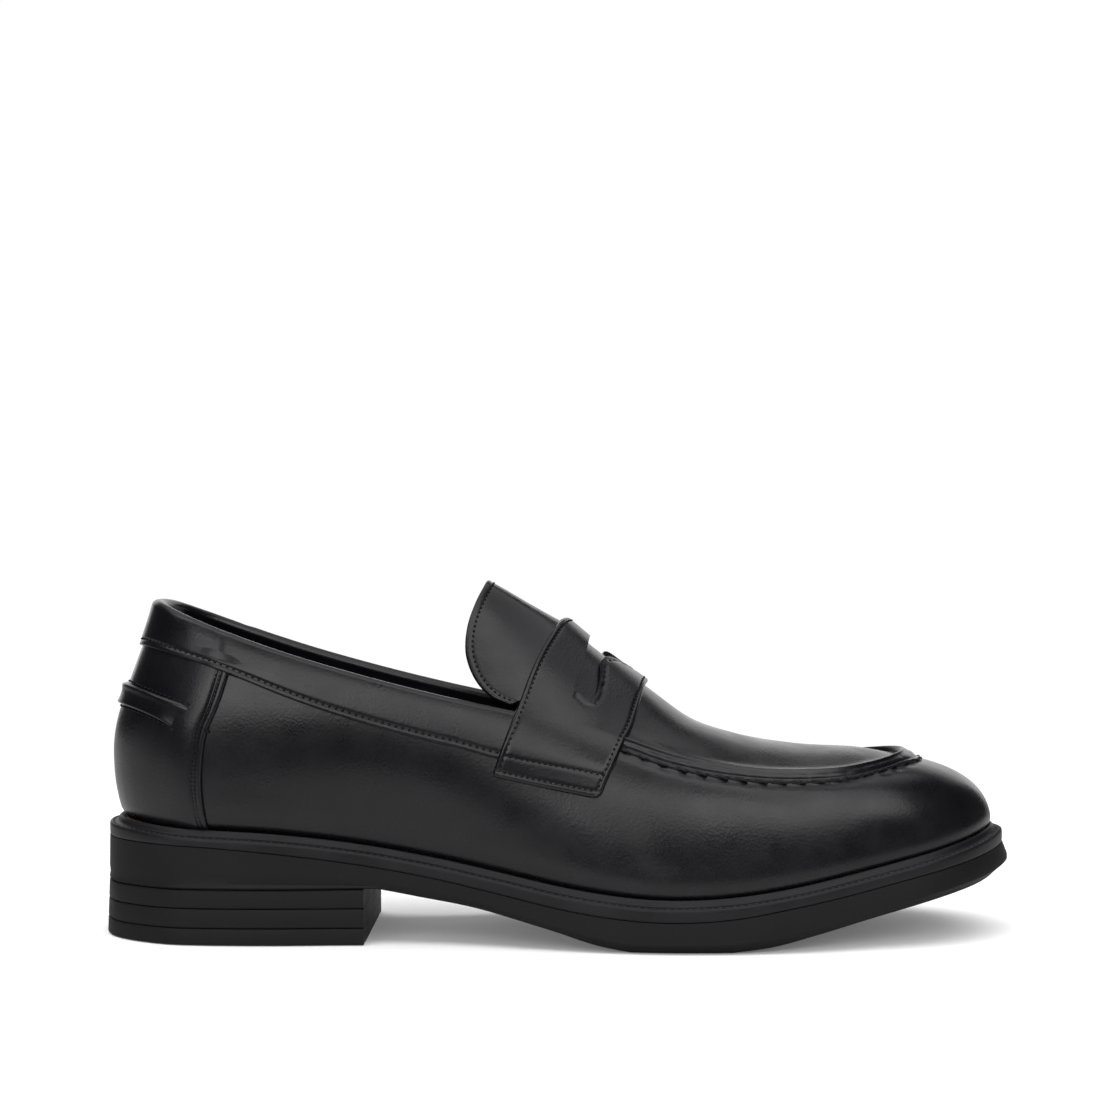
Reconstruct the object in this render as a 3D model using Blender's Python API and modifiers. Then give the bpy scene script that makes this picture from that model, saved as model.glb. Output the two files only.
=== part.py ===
"""Penny loafer, right shoe, men's EU 43.

The frame is +X to the toe, -Y to the outer (lateral) side and +Z up, with the origin on the ground
under the middle of the outsole. The design is drawn in millimetres and scaled to metres as each
mesh is made.

The upper is drawn on one skin. A station number t runs from 0 at the heel's back to LAST at the
toe, on either side of the shoe. A height number r runs from 0 at the feather line, where the upper
meets the welt, to 1 at the top edge (topline or apron seam), and on to 2 at the ridge over the
foot. Every leather, stiffener and lining is a patch of that skin at its own depth.
"""
import math

import bmesh
import bpy
import numpy as np

MM = 0.001
LATERAL = -1
MEDIAL = 1

# Stations, heel to toe: feather line x, its lateral and medial half width, then the top edge's
# x, half width and height.
STATIONS = np.array([
    (-145.5, 0.0, 0.0, -134.6, 0.0, 107.8),
    (-141.0, 15.5, 15.5, -131.5, 13.0, 107.0),
    (-127.0, 26.5, 26.5, -122.0, 22.5, 103.2),
    (-112.6, 29.8, 29.5, -106.0, 27.8, 97.2),
    (-90.0, 30.5, 28.5, -84.0, 31.0, 89.9),
    (-62.0, 29.5, 25.0, -58.0, 33.0, 82.6),
    (-35.0, 32.0, 24.0, -34.0, 34.0, 76.8),
    (-8.0, 38.5, 29.5, -10.0, 34.0, 71.8),
    (18.0, 44.0, 38.0, 14.0, 32.8, 66.6),
    (43.0, 46.3, 44.5, 38.0, 35.5, 58.6),
    (72.0, 44.0, 45.8, 63.0, 35.2, 54.5),
    (98.0, 37.5, 40.0, 86.0, 30.5, 53.9),
    (121.0, 30.0, 32.0, 100.8, 23.0, 55.3),
    (137.0, 17.5, 18.5, 110.8, 12.6, 56.9),
    (143.8, 0.0, 0.0, 115.0, 0.0, 57.3),
])
LAST = len(STATIONS) - 1
MIRRORED_COLUMNS = np.array([1, -1, -1, 1, -1, 1])

# Fullness of the wall at each station: out and up from the feather line, then out and down from
# the top edge. These are the handles of the wall's curve.
FULLNESS = np.array([
    (7.0, 32.0, 13.0, 41.0),
    (6.4, 29.0, 12.6, 36.0),
    (5.2, 24.0, 11.4, 29.0),
    (4.0, 19.0, 9.0, 21.0),
    (4.0, 18.0, 7.5, 18.0),
    (4.0, 16.0, 6.5, 16.0),
    (4.0, 15.0, 6.5, 15.0),
    (4.0, 15.0, 7.0, 14.0),
    (3.0, 14.5, 9.0, 12.0),
    (2.0, 13.5, 8.5, 6.5),
    (1.5, 12.5, 8.0, 5.0),
    (1.0, 12.0, 8.5, 5.0),
    (0.8, 10.5, 14.0, 4.6),
    (1.4, 9.0, 20.5, 4.2),
    (1.6, 8.5, 25.0, 4.2),
])

# The crown over the instep and forefoot, from station CROWN_START on: the ridge's x, the crown's
# rise from the top edge (in, up), and how flat it is across the ridge.
CROWN_START = 6
CROWN = np.array([
    (-12.0, 5.0, 12.0, 14.0),
    (5.0, 6.0, 10.5, 15.0),
    (26.0, 7.0, 6.5, 16.0),
    (44.0, 9.0, 3.6, 15.0),
    (66.0, 9.0, 2.2, 15.0),
    (88.0, 8.0, 1.2, 13.0),
    (101.8, 6.5, 0.7, 10.0),
    (111.2, 3.5, 0.2, 5.0),
    (115.0, 0.0, 0.0, 0.0),
])
RIDGE_HEIGHT = [(-26, 117.0), (1, 102.0), (10.4, 94.2), (30, 79.5), (43.5, 69.9), (57, 65.1),
                (77, 61.3), (100, 59.1), (109, 58.0), (115, 57.3), (122, 57.2)]

# Heights along the shoe: feather line, welt's underside and outsole's underside.
FEATHER_HEIGHT = [(-150, 38.0), (-125, 35.9), (-89, 33.8), (-63, 30.6), (-45, 27.6), (-20, 22.8),
                  (5, 18.0), (30, 15.4), (56, 16.3), (74, 18.8), (92, 22.2), (111, 26.2),
                  (131, 30.7), (146, 34.6)]
WELT_BOTTOM = [(-150, 32.2), (-109, 30.6), (-83, 28.0), (-63, 25.2), (-45, 22.2), (-20, 17.2),
               (5, 12.2), (30, 9.7), (56, 10.9), (73, 13.7), (92, 17.2), (110, 21.0),
               (131, 25.4), (150, 29.6)]
SOLE_BOTTOM = [(-45, 15.4), (-25, 11.8), (-11, 8.2), (0, 5.2), (10, 2.2), (20, 0.3)]
TOE_SPRING = [(54, 0.0), (66, 1.4), (80, 4.6), (98, 9.0), (118, 13.6), (139, 18.2), (151, 21.4)]
CONTACT_START = 22.0
CONTACT_END = 54.0
SEAT_HEIGHT = 17.8
SEAT_END = -58.0

# Sole edge, outside the feather line
WELT_EDGE = 4.3
SOLE_EDGE = [(-151, 4.5), (60, 4.9), (125, 5.6), (151, 6.3)]
SOLE_FOOT_EDGE = [(-151, 4.5), (-60, 4.4), (-40, 3.4), (151, 2.6)]
TOE_SWING = 3.0

# Heel
BREAST_X = -62.5
LIFT_HEIGHTS = [("heel_lift_upper", 11.7, 17.5), ("heel_lift_lower", 5.5, 11.4),
                ("heel_top_piece", 0.0, 5.2)]
HEEL_FLARE = 0.03
NAIL_PLACES = [(-129, 0), (-112, -16), (-112, 16), (-86, -15), (-86, 15)]
NAIL_RADIUS = 1.2
NAIL_HEAD_RADIUS = 2.3
NAIL_HEAD_HEIGHT = 0.8
NAIL_TIP = 7.0
NAIL_SIDES = 8
NAIL_CLEARANCE = 0.35

# Layers of the upper: depth of the outer face below the skin, and thickness
LEATHER = (0.0, 1.4)
STIFFENER = (1.8, 1.0)
COLLAR_FOAM = (1.75, 0.9)
LINING = (3.3, 1.0)
SADDLE = (-2.3, 1.8)
TONGUE_LEATHER = 1.3
TONGUE_LINING_DEPTH = 1.6
TONGUE_LINING = 0.9

# Seams, as station numbers and heights on the skin
GAP = 0.3
BALL = 9.45
BALL_CUT = 0.006
HEEL_SEAM = 3.0
SEAM_CUT = 0.012
SADDLE_LINE = 6.8
APRON_INSET = 1.7
APRON_END = LAST - 0.5
LINING_INSET = 4.2
LINING_END = LAST - 1.0
FOOT_OF_WALL = 0.015
COLLAR_EDGE = [(0, 0.873), (1, 0.871), (2, 0.862), (3, 0.833), (5, 0.745), (6, 0.73), (7, 0.73),
               (7.4, 0.80), (7.8, 0.92), (8.1, 0.945), (8.4, 0.95), (9, 0.95), (14, 0.95)]
COLLAR_END = 7.1
FOAM_TOP = [(0, 0.965), (2, 0.955), (3.5, 0.93), (7, 0.93)]

# Saddle strap: x of its rear and front edges at heights r, and where its ends stop
SADDLE_REAR = [(0.60, -21.6), (1.0, -14.8), (1.35, -9.6), (1.7, -3.2), (2.0, 1.2)]
SADDLE_FRONT = [(0.58, 12.6), (1.0, 20.6), (1.5, 25.2), (2.0, 28.4)]
SADDLE_END_REAR = 0.60
SADDLE_END_FRONT = 0.58
SLOT = [(10.2, 0.0), (9.2, -10.0), (7.4, -19.0), (4.4, -27.0), (8.6, -27.9), (11.8, -25.5),
        (13.6, -19.5), (14.4, -11.0), (17.6, -5.5), (23.8, 0.0)]

# Tongue flap's free edge: x, half width and height, ridge to wing
TONGUE_EDGE = np.array([
    (-24.2, 0.0, 116.2),
    (-25.0, 6.0, 114.6),
    (-27.9, 12.0, 108.6),
    (-30.3, 17.0, 101.0),
    (-30.6, 21.5, 92.6),
    (-27.6, 25.6, 84.8),
    (-22.4, 29.0, 79.2),
    (-16.4, 31.0, 76.4),
])

# Colours: base colour, roughness, metallic
FINISHES = {
    "calf": ((0.012, 0.012, 0.014, 1), 0.32, 0.0),
    "lining_leather": ((0.020, 0.018, 0.018, 1), 0.60, 0.0),
    "rubber": ((0.010, 0.010, 0.010, 1), 0.75, 0.0),
    "welt": ((0.014, 0.014, 0.015, 1), 0.55, 0.0),
    "thread": ((0.016, 0.016, 0.017, 1), 0.70, 0.0),
    "board": ((0.34, 0.22, 0.12, 1), 0.90, 0.0),
    "cork": ((0.42, 0.27, 0.15, 1), 0.90, 0.0),
    "foam": ((0.55, 0.54, 0.50, 1), 0.95, 0.0),
    "steel": ((0.55, 0.56, 0.58, 1), 0.35, 1.0),
}


# ---------------------------------------------------------------- curves and the skin

# Small sizes of the upper: heights r and stations t have no unit, the rest are millimetres.
COLLAR_STEP = 0.008
STIFFENER_FOOT = 0.04
COUNTER_END = 4.5
COUNTER_TOP = 0.72
PUFF_START = 11.5
PUFF_TOP = 0.9
FOAM_END = 6.6
FOAM_FLOOR = 0.76
SLOT_CUTTER_HALF = 25
SLOT_CUTTER_Z = 88
FINE_THREAD_RADIUS = 0.35
SEAM_THREAD_RADIUS = 0.3
HAND_THREAD_RADIUS = 0.45
PIPING_RADIUS = 1.25
PIPING_START = 8.35
COLLAR_THREAD_END = 6.45
ROLL_END = 2.45
ROLL_RADIUS = 1.8
ROLL_HEIGHT = 0.675
ROLL_DROP = 0.105


def along(table, x):
    """Smooth value of a table of (x, value) rows at x."""
    keys = np.array([row[0] for row in table], dtype=float)
    values = np.array([row[1] for row in table], dtype=float)
    slopes = np.gradient(values, keys)
    x = min(max(x, keys[0]), keys[-1])
    k = min(int(np.searchsorted(keys, x, side="right")) - 1, len(keys) - 2)
    span = keys[k + 1] - keys[k]
    u = (x - keys[k]) / span
    return (values[k] * (1 + 2 * u) * (1 - u) ** 2 + values[k + 1] * u * u * (3 - 2 * u)
            + span * (slopes[k] * u * (1 - u) ** 2 - slopes[k + 1] * u * u * (1 - u)))


def catmull_rom(rows, t, before, after):
    """Row of a table at station t, on a smooth curve through its rows."""
    k = min(max(int(math.floor(t)), 0), len(rows) - 2)
    u = t - k
    a = rows[k - 1] if k > 0 else before
    b = rows[k]
    c = rows[k + 1]
    d = rows[k + 2] if k + 2 < len(rows) else after
    return 0.5 * (2 * b + (c - a) * u + (2 * a - 5 * b + 4 * c - d) * u * u
                  + (3 * b - a - 3 * c + d) * u ** 3)


def bezier(a, b, c, d, u):
    """Point on a cubic curve."""
    return a * (1 - u) ** 3 + 3 * b * u * (1 - u) ** 2 + 3 * c * u * u * (1 - u) + d * u ** 3


def station(t):
    """Feather line and top edge at station t."""
    return catmull_rom(STATIONS, t, STATIONS[1] * MIRRORED_COLUMNS,
                       STATIONS[-2] * MIRRORED_COLUMNS)


def outline(t, side):
    """Feather line's (x, half width) at station t."""
    row = station(t)
    return np.array((row[0], row[1] if side == LATERAL else row[2]))


def top_outline(t, side):
    """Top edge's (x, half width) at station t."""
    row = station(t)
    return np.array((row[3], row[4]))


def outward(curve, t, side):
    """Unit outward direction (x, half width) of a plan curve."""
    step = 0.05
    ahead = curve(t + step, side)
    behind = curve(t - step, side)
    direction = np.array((behind[1] - ahead[1], ahead[0] - behind[0]))
    return direction / np.linalg.norm(direction)


def swing(x):
    """How far the toe end leans to the inner side."""
    return TOE_SWING * (max(x, 0.0) / 145.0) ** 2


def wall(t, side, r):
    """Point (x, half width, z) on the wall."""
    row = station(t)
    fullness = catmull_rom(FULLNESS, t, FULLNESS[1], FULLNESS[-2])
    foot = np.array((*outline(t, side), along(FEATHER_HEIGHT, row[0])))
    top = row[3:6]
    foot_out = outward(outline, t, side)
    top_out = outward(top_outline, t, side)
    foot_handle = foot + np.array((*(foot_out * fullness[0]), fullness[1]))
    top_handle = top + np.array((*(top_out * fullness[2]), -fullness[3]))
    return bezier(foot, foot_handle, top_handle, top, r)


def crown(t, r):
    """Point (x, half width, z) on the crown, from the top edge at r = 1 to the ridge at 2."""
    top = station(t)[3:6]
    extra = 2 * CROWN[0] - CROWN[1]
    x, inward, up, flat = catmull_rom(CROWN, t - CROWN_START, extra, CROWN[-2])
    ridge = np.array((x, 0.0, along(RIDGE_HEIGHT, x)))
    lean = (ridge[0] - top[0]) / 3
    edge_handle = top + np.array((lean, -inward, up))
    ridge_handle = ridge + np.array((-lean * 0.5, flat, 0.0))
    return bezier(top, edge_handle, ridge_handle, ridge, r - 1)


def skin(t, side, r):
    """Point of the skin in millimetres, also just past the heel, the toe and the ridge."""
    if r > 2:
        r = 4 - r
        side = -side
    if t < 0:
        t = -t
        side = -side
    if t > LAST:
        t = 2 * LAST - t
        side = -side
    point = wall(t, side, r) if r <= 1 or t < CROWN_START else crown(t, r)
    return np.array((point[0], side * point[1] + swing(point[0]), point[2]))


def skin_normal(t, side, r):
    """Unit normal of the skin, pointing out of the shoe."""
    step = 0.02
    if r > 1 + step:
        t = min(t, LAST - 0.6)
    ahead = skin(t + step, side, r) - skin(t - step, side, r)
    upward = skin(t, side, r + step) - skin(t, side, max(r - step, 0.0))
    normal = -side * np.cross(ahead, upward)
    return normal / np.linalg.norm(normal)


def layer(t, side, r, depth):
    """Point at a depth below the skin; a negative depth is outside it."""
    return skin(t, side, r) - depth * skin_normal(t, side, r)


def around(p):
    """Station and side at p on the way round: 0 heel, LAST toe, below 0 or above LAST medial."""
    if p < 0:
        return -p, MEDIAL
    if p > LAST:
        return 2 * LAST - p, MEDIAL
    return p, LATERAL


def station_at(x, side, r):
    """Station where the skin at height r reaches x."""
    low = CROWN_START - 1.0 if r <= 1 else float(CROWN_START)
    high = 11.0
    for _ in range(40):
        middle = (low + high) / 2
        if skin(middle, side, r)[0] < x:
            low = middle
        else:
            high = middle
    return (low + high) / 2


def steps(start, end, largest):
    """Evenly spread values from start to end, at most `largest` apart."""
    count = max(1, math.ceil(abs(end - start) / largest - 1e-9))
    return [start + (end - start) * k / count for k in range(count + 1)]


def perimeter(start, end):
    """Values of p for a wall sheet: every half station, and closer round the heel and toe."""
    tight = [k / 4 for k in range(-4, 5)] + [LAST + k / 4 for k in range(-4, 5)]
    inner = [p for p in tight if start + 0.1 < p < end - 0.1]
    corners = [start] + inner + [end]
    values = [start]
    for near, far in zip(corners, corners[1:]):
        values += steps(near, far, 0.5)[1:]
    return values


# ---------------------------------------------------------------- Blender objects

def clear_scene():
    """Remove every object, so that the file can be run again."""
    for old in list(bpy.data.objects):
        bpy.data.objects.remove(old, do_unlink=True)


def new_collection(name):
    """A collection under the scene."""
    collection = bpy.data.collections.new(name)
    bpy.context.scene.collection.children.link(collection)
    return collection


def finish_of(name, node):
    """A node's own material with one of the FINISHES."""
    colour, roughness, metallic = FINISHES[name]
    material = bpy.data.materials.new(node + "_" + name)
    material.use_nodes = True
    shader = material.node_tree.nodes["Principled BSDF"]
    shader.inputs["Base Color"].default_value = colour
    shader.inputs["Roughness"].default_value = roughness
    shader.inputs["Metallic"].default_value = metallic
    material.diffuse_color = colour
    return material


def place(name, data, finish, collection):
    """Link a mesh or curve as a named node with its material."""
    obj = bpy.data.objects.new(name, data)
    data.materials.append(finish_of(finish, name))
    collection.objects.link(obj)
    return obj


def grid_mesh(name, rows):
    """Open mesh from rows of points in millimetres."""
    mesh = bpy.data.meshes.new(name)
    bm = bmesh.new()
    verts = [[bm.verts.new(point * MM) for point in row] for row in rows]
    for near, far in zip(verts, verts[1:]):
        for k in range(len(near) - 1):
            bm.faces.new((near[k], far[k], far[k + 1], near[k + 1]))
    bm.to_mesh(mesh)
    bm.free()
    return mesh


def shell(name, rows, thickness, finish, collection):
    """A sheet of the skin, thickened inwards from its outer face."""
    mesh = grid_mesh(name, rows)
    mesh.shade_smooth()
    obj = place(name, mesh, finish, collection)
    solidify = obj.modifiers.new("thickness", "SOLIDIFY")
    solidify.thickness = thickness * MM
    solidify.offset = -1
    return obj


def ring_loft(name, rings, finish, collection, capped=True):
    """Closed solid through rings of points in millimetres, with a face at each open end."""
    mesh = bpy.data.meshes.new(name)
    bm = bmesh.new()
    verts = [[bm.verts.new(point * MM) for point in ring] for ring in rings]
    size = len(rings[0])
    for near, far in zip(verts, verts[1:]):
        for k in range(size):
            bm.faces.new((near[k], near[(k + 1) % size], far[(k + 1) % size], far[k]))
    if capped:
        bm.faces.new(verts[0][::-1])
        bm.faces.new(verts[-1])
    bmesh.ops.remove_doubles(bm, verts=bm.verts, dist=0.01 * MM)
    bmesh.ops.dissolve_degenerate(bm, edges=bm.edges, dist=0.001 * MM)
    bmesh.ops.recalc_face_normals(bm, faces=bm.faces)
    bm.to_mesh(mesh)
    bm.free()
    return place(name, mesh, finish, collection)


def tube(name, points, radius, finish, collection, resolution=0, taper=None):
    """Round cord through points in millimetres."""
    curve = bpy.data.curves.new(name, "CURVE")
    curve.dimensions = "3D"
    curve.bevel_depth = radius * MM
    curve.bevel_resolution = resolution
    curve.use_fill_caps = True
    spline = curve.splines.new("POLY")
    spline.points.add(len(points) - 1)
    for k, point in enumerate(points):
        spline.points[k].co = (*(point * MM), 1)
        spline.points[k].radius = taper(k / (len(points) - 1)) if taper else 1.0
    return place(name, curve, finish, collection)


# ---------------------------------------------------------------- upper

def wall_sheet(name, start, end, low, high, build, finish, collection, rows=6):
    """Part of the wall from p = start to end, between heights low(t) and high(t)."""
    depth, thickness = build
    grid = []
    for p in perimeter(start, end):
        t, side = around(p)
        grid.append([layer(t, side, r, depth) for r in np.linspace(low(t), high(t), rows + 1)])
    return shell(name, grid, thickness, finish, collection)


def bridge_sheet(name, start, end, inset, build, finish, collection, half=6, largest=0.5):
    """Part of the crown from station start to end, `inset` in from the top edge on both sides."""
    depth, thickness = build
    grid = []
    for t in steps(start, end, largest):
        span = np.linalg.norm(skin(t, LATERAL, 1.0) - skin(t, LATERAL, 2.0))
        heights = list(np.linspace(1 + inset / (0.8 * span), 2.0, half + 1))
        across = [(LATERAL, r) for r in heights] + [(MEDIAL, r) for r in heights[-2::-1]]
        grid.append([layer(t, side, r, depth) for side, r in across])
    return shell(name, grid, thickness, finish, collection)


def collar_edge(t):
    """Height of the seam under the collar, and past the saddle of the vamp's top edge."""
    return along(COLLAR_EDGE, t)


def constant(value):
    """The same height at every station."""
    return lambda t: value


def make_outer_leather(parts):
    """Vamp in its three lengths, the heel cover and the collar."""
    foot = constant(FOOT_OF_WALL)

    def below_seam(t):
        return collar_edge(t) - COLLAR_STEP

    sides = (("vamp_lateral", HEEL_SEAM + SEAM_CUT, BALL - BALL_CUT),
             ("vamp_medial", -(BALL - BALL_CUT), -(HEEL_SEAM + SEAM_CUT)))
    for name, start, end in sides:
        wall_sheet(name, start, end, foot, below_seam, LEATHER, "calf", parts)
    wall_sheet("vamp_toe", BALL + BALL_CUT, 2 * LAST - BALL - BALL_CUT, foot, below_seam, LEATHER,
               "calf", parts)
    wall_sheet("heel_cover", -HEEL_SEAM + SEAM_CUT, HEEL_SEAM - SEAM_CUT, foot, below_seam,
               LEATHER, "calf", parts)

    def above_seam(t):
        return collar_edge(t) + COLLAR_STEP

    wall_sheet("collar_band", -COLLAR_END, COLLAR_END, above_seam, constant(1.0), LEATHER, "calf",
               parts, rows=3)
    bridge_sheet("apron_rear", SADDLE_LINE + 0.02, BALL - BALL_CUT, APRON_INSET, LEATHER, "calf",
                 parts)
    bridge_sheet("apron_toe", BALL + BALL_CUT, APRON_END, APRON_INSET, LEATHER, "calf", parts)


def make_inner_layers(parts):
    """Stiffeners, collar foam and linings."""
    low = constant(STIFFENER_FOOT)
    wall_sheet("heel_counter", -COUNTER_END, COUNTER_END, low, constant(COUNTER_TOP), STIFFENER,
               "board", parts, rows=4)
    wall_sheet("toe_puff", PUFF_START, 2 * LAST - PUFF_START, low, constant(PUFF_TOP), STIFFENER,
               "board", parts, rows=4)

    def foam_low(t):
        return max(collar_edge(t) + 0.02, FOAM_FLOOR)

    def foam_high(t):
        return along(FOAM_TOP, t)

    wall_sheet("collar_foam", -FOAM_END, FOAM_END, foam_low, foam_high, COLLAR_FOAM, "foam",
               parts, rows=2)

    def lining_top(t):
        return 0.99 if t < SADDLE_LINE else max(0.92, 0.99 - (t - SADDLE_LINE) * 0.05)

    foot = constant(FOOT_OF_WALL)
    wall_sheet("lining_rear", -(BALL - BALL_CUT), BALL - BALL_CUT, foot, lining_top, LINING,
               "lining_leather", parts, rows=5)
    wall_sheet("lining_toe", BALL + BALL_CUT, 2 * LAST - BALL - BALL_CUT, foot, lining_top, LINING,
               "lining_leather", parts, rows=5)
    bridge_sheet("apron_lining_rear", SADDLE_LINE + 0.06, BALL - BALL_CUT, LINING_INSET, LINING,
                 "lining_leather", parts, half=5)
    bridge_sheet("apron_lining_toe", BALL + BALL_CUT, LINING_END, LINING_INSET, LINING,
                 "lining_leather", parts, half=5)


def saddle_place(u, c, side):
    """Station and height on the saddle: u from rear to front, c from its end to the ridge."""
    end = SADDLE_END_REAR + (SADDLE_END_FRONT - SADDLE_END_REAR) * u
    r = end + (2 - end) * c
    x = (1 - u) * along(SADDLE_REAR, r) + u * along(SADDLE_FRONT, r)
    return station_at(x, side, r), r


def saddle_point(u, c, side, depth):
    """Point on the saddle at a depth below the skin."""
    t, r = saddle_place(u, c, side)
    return layer(t, side, r, depth)


def make_saddle(parts, cutters):
    """Saddle strap with the slot cut through it, and its four rows of thread."""
    half = [k / 12 for k in range(13)]
    across = [(LATERAL, c) for c in half] + [(MEDIAL, c) for c in half[-2::-1]]
    depth, thickness = SADDLE
    rows = [[saddle_point(u, c, side, depth) for side, c in across] for u in steps(0, 1, 0.2)]
    saddle = shell("saddle_strap", rows, thickness, "calf", parts)
    slot = bpy.data.curves.new("slot_cutter", "CURVE")
    slot.dimensions = "2D"
    slot.fill_mode = "BOTH"
    slot.extrude = SLOT_CUTTER_HALF * MM
    outline_points = SLOT + [(x, -y) for x, y in SLOT[-2:0:-1]]
    spline = slot.splines.new("POLY")
    spline.points.add(len(outline_points) - 1)
    for k, (x, y) in enumerate(outline_points):
        spline.points[k].co = (x * MM, y * MM, 0, 1)
    spline.use_cyclic_u = True
    guide = bpy.data.objects.new("slot_outline", slot)
    cutters.objects.link(guide)
    cutter = mesh_from(guide, "slot_cutter", cutters)
    cutter.location.z = SLOT_CUTTER_Z * MM
    cut(saddle, cutter)
    over = depth - GAP - FINE_THREAD_RADIUS
    edge = 0.07
    ends = 0.93
    for name, u in (("saddle_thread_rear", edge), ("saddle_thread_front", 1 - edge)):
        line = [saddle_point(u, c, side, over) for side, c in across[1:-1]]
        tube(name, line, FINE_THREAD_RADIUS, "thread", parts)
    for name, side in (("saddle_thread_lateral", LATERAL), ("saddle_thread_medial", MEDIAL)):
        line = [saddle_point(u, 0.035, side, over) for u in steps(1 - ends, ends, 0.12)]
        tube(name, line, FINE_THREAD_RADIUS, "thread", parts)


def tongue_grid(depth, inset):
    """Tongue flap between the saddle line and its free edge, both wings in one sheet."""
    count = len(TONGUE_EDGE)
    rows = []
    for side, ks in ((LATERAL, range(count - 1, -1, -1)), (MEDIAL, range(1, count))):
        for k in ks:
            share = k / (count - 1)
            r = 2 - share * 0.86
            root = skin(SADDLE_LINE - 0.02, side, r)
            x, width, z = TONGUE_EDGE[k]
            free = np.array((x, side * width, z))
            free = free + (root - free) / np.linalg.norm(root - free) * inset
            rows.append([free + (root - free) * v for v in np.linspace(0, 1, 4)])
    grid = np.array(rows)
    across = np.gradient(grid, axis=0)
    forward = np.gradient(grid, axis=1)
    normal = np.cross(forward, across)
    normal /= np.linalg.norm(normal, axis=2, keepdims=True)
    return grid - normal * depth


def make_tongue(parts):
    """Tongue flap, its lining and its thread, joined to the shoe at the saddle line."""
    outer = np.transpose(tongue_grid(0.0, 0.0), (1, 0, 2))
    tongue = shell("tongue", list(outer), TONGUE_LEATHER, "calf", parts)
    inner = np.transpose(tongue_grid(TONGUE_LINING_DEPTH, 0.5), (1, 0, 2))
    lining = shell("tongue_lining", list(inner), TONGUE_LINING, "lining_leather", parts)
    line = tongue_grid(-(GAP + FINE_THREAD_RADIUS), 1.8)[1:-1, 0]
    thread = tube("tongue_thread", list(line), FINE_THREAD_RADIUS, "thread", parts)
    return [tongue, lining, thread]


def make_seam_trim(parts):
    """Apron piping, hand stitches, and the threads of the collar and the back seams."""
    lift = -(PIPING_RADIUS + 0.75)
    over = -(GAP + HAND_THREAD_RADIUS + 0.1)
    runs = (("lateral", PIPING_START, BALL - BALL_CUT),
            ("toe", BALL + BALL_CUT, 2 * LAST - BALL - BALL_CUT),
            ("medial", 2 * LAST - BALL + BALL_CUT, 2 * LAST - PIPING_START))
    for name, first, last in runs:
        seam = []
        stitches = []
        for p in steps(first, last, 0.33):
            t, side = around(p)
            seam.append(layer(t, side, 1.0, lift))
            stitches.append(layer(t, side, 0.885, over))
        tube("apron_piping_" + name, seam, PIPING_RADIUS, "calf", parts, resolution=1)
        tube("apron_thread_" + name, stitches, HAND_THREAD_RADIUS, "thread", parts)
    over = -(GAP + SEAM_THREAD_RADIUS)
    collar = []
    for p in steps(-COLLAR_THREAD_END, COLLAR_THREAD_END, 0.4):
        t, side = around(p)
        collar.append(layer(t, side, collar_edge(t) + 0.035, over))
    tube("collar_thread", collar, SEAM_THREAD_RADIUS, "thread", parts)
    for name, side in (("heel_seam_thread_lateral", LATERAL), ("heel_seam_thread_medial", MEDIAL)):
        t = HEEL_SEAM - 0.09
        line = [layer(t, side, r, over) for r in np.linspace(0.05, 0.78, 12)]
        tube(name, line, SEAM_THREAD_RADIUS, "thread", parts)


def make_heel_roll(parts):
    """Pinched fold of leather round the back of the heel."""
    line = []
    for p in steps(-ROLL_END, ROLL_END, 0.3):
        t, side = around(p)
        bow = (t / ROLL_END) ** 2
        line.append(layer(t, side, ROLL_HEIGHT - ROLL_DROP * bow, -2.2 + 0.7 * bow))
    tube("heel_roll", line, ROLL_RADIUS, "calf", parts, resolution=1,
         taper=lambda u: 1.0 - 0.55 * abs(2 * u - 1) ** 2)


# ---------------------------------------------------------------- sole

def feather(x):
    """Height of the feather line at x."""
    return along(FEATHER_HEIGHT, x)


def welt_bottom(x):
    """Height of the welt's underside at x."""
    return along(WELT_BOTTOM, x)


def sole_bottom(x):
    """Height of the outsole's underside at x."""
    if x <= SEAT_END:
        return SEAT_HEIGHT
    if x < SOLE_BOTTOM[0][0]:
        share = (x - SEAT_END) / (SOLE_BOTTOM[0][0] - SEAT_END)
        return SEAT_HEIGHT + (SOLE_BOTTOM[0][1] - SEAT_HEIGHT) * share
    if x < CONTACT_START:
        return max(along(SOLE_BOTTOM + [(CONTACT_START, 0.0)], x), 0.0)
    if x < CONTACT_END:
        return 0.0
    return max(along(TOE_SPRING, x), 0.0)


def edge_point(t, side, offset, height):
    """Point outside the feather line by `offset`, at height(x)."""
    foot = outline(t, side)
    x, width = foot + outward(outline, t, side) * offset
    return np.array((x, side * width + swing(x), height(x)))


def slab(name, stations, edges, finish, collection):
    """Plate across the shoe: edges are (offset, height) from its top to its underside."""
    rings = []
    for t in stations:
        lateral = [edge_point(t, LATERAL, offset(t), height) for offset, height in edges]
        medial = [edge_point(t, MEDIAL, offset(t), height) for offset, height in edges]
        rings.append(lateral + medial[::-1])
    return ring_loft(name, rings, finish, collection)


def raised(curve, by):
    """A height curve moved up."""
    return lambda x: curve(x) + by


def table_offset(table, by=0.0):
    """Offset that follows a table along the shoe."""
    return lambda t: along(table, station(t)[0]) + by


def lengths(largest=0.5):
    """Station runs of the two halves of a piece that crosses the ball of the foot."""
    return (("rear", steps(0, BALL - BALL_CUT, largest)),
            ("toe", steps(BALL + BALL_CUT, LAST, largest)))


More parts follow.
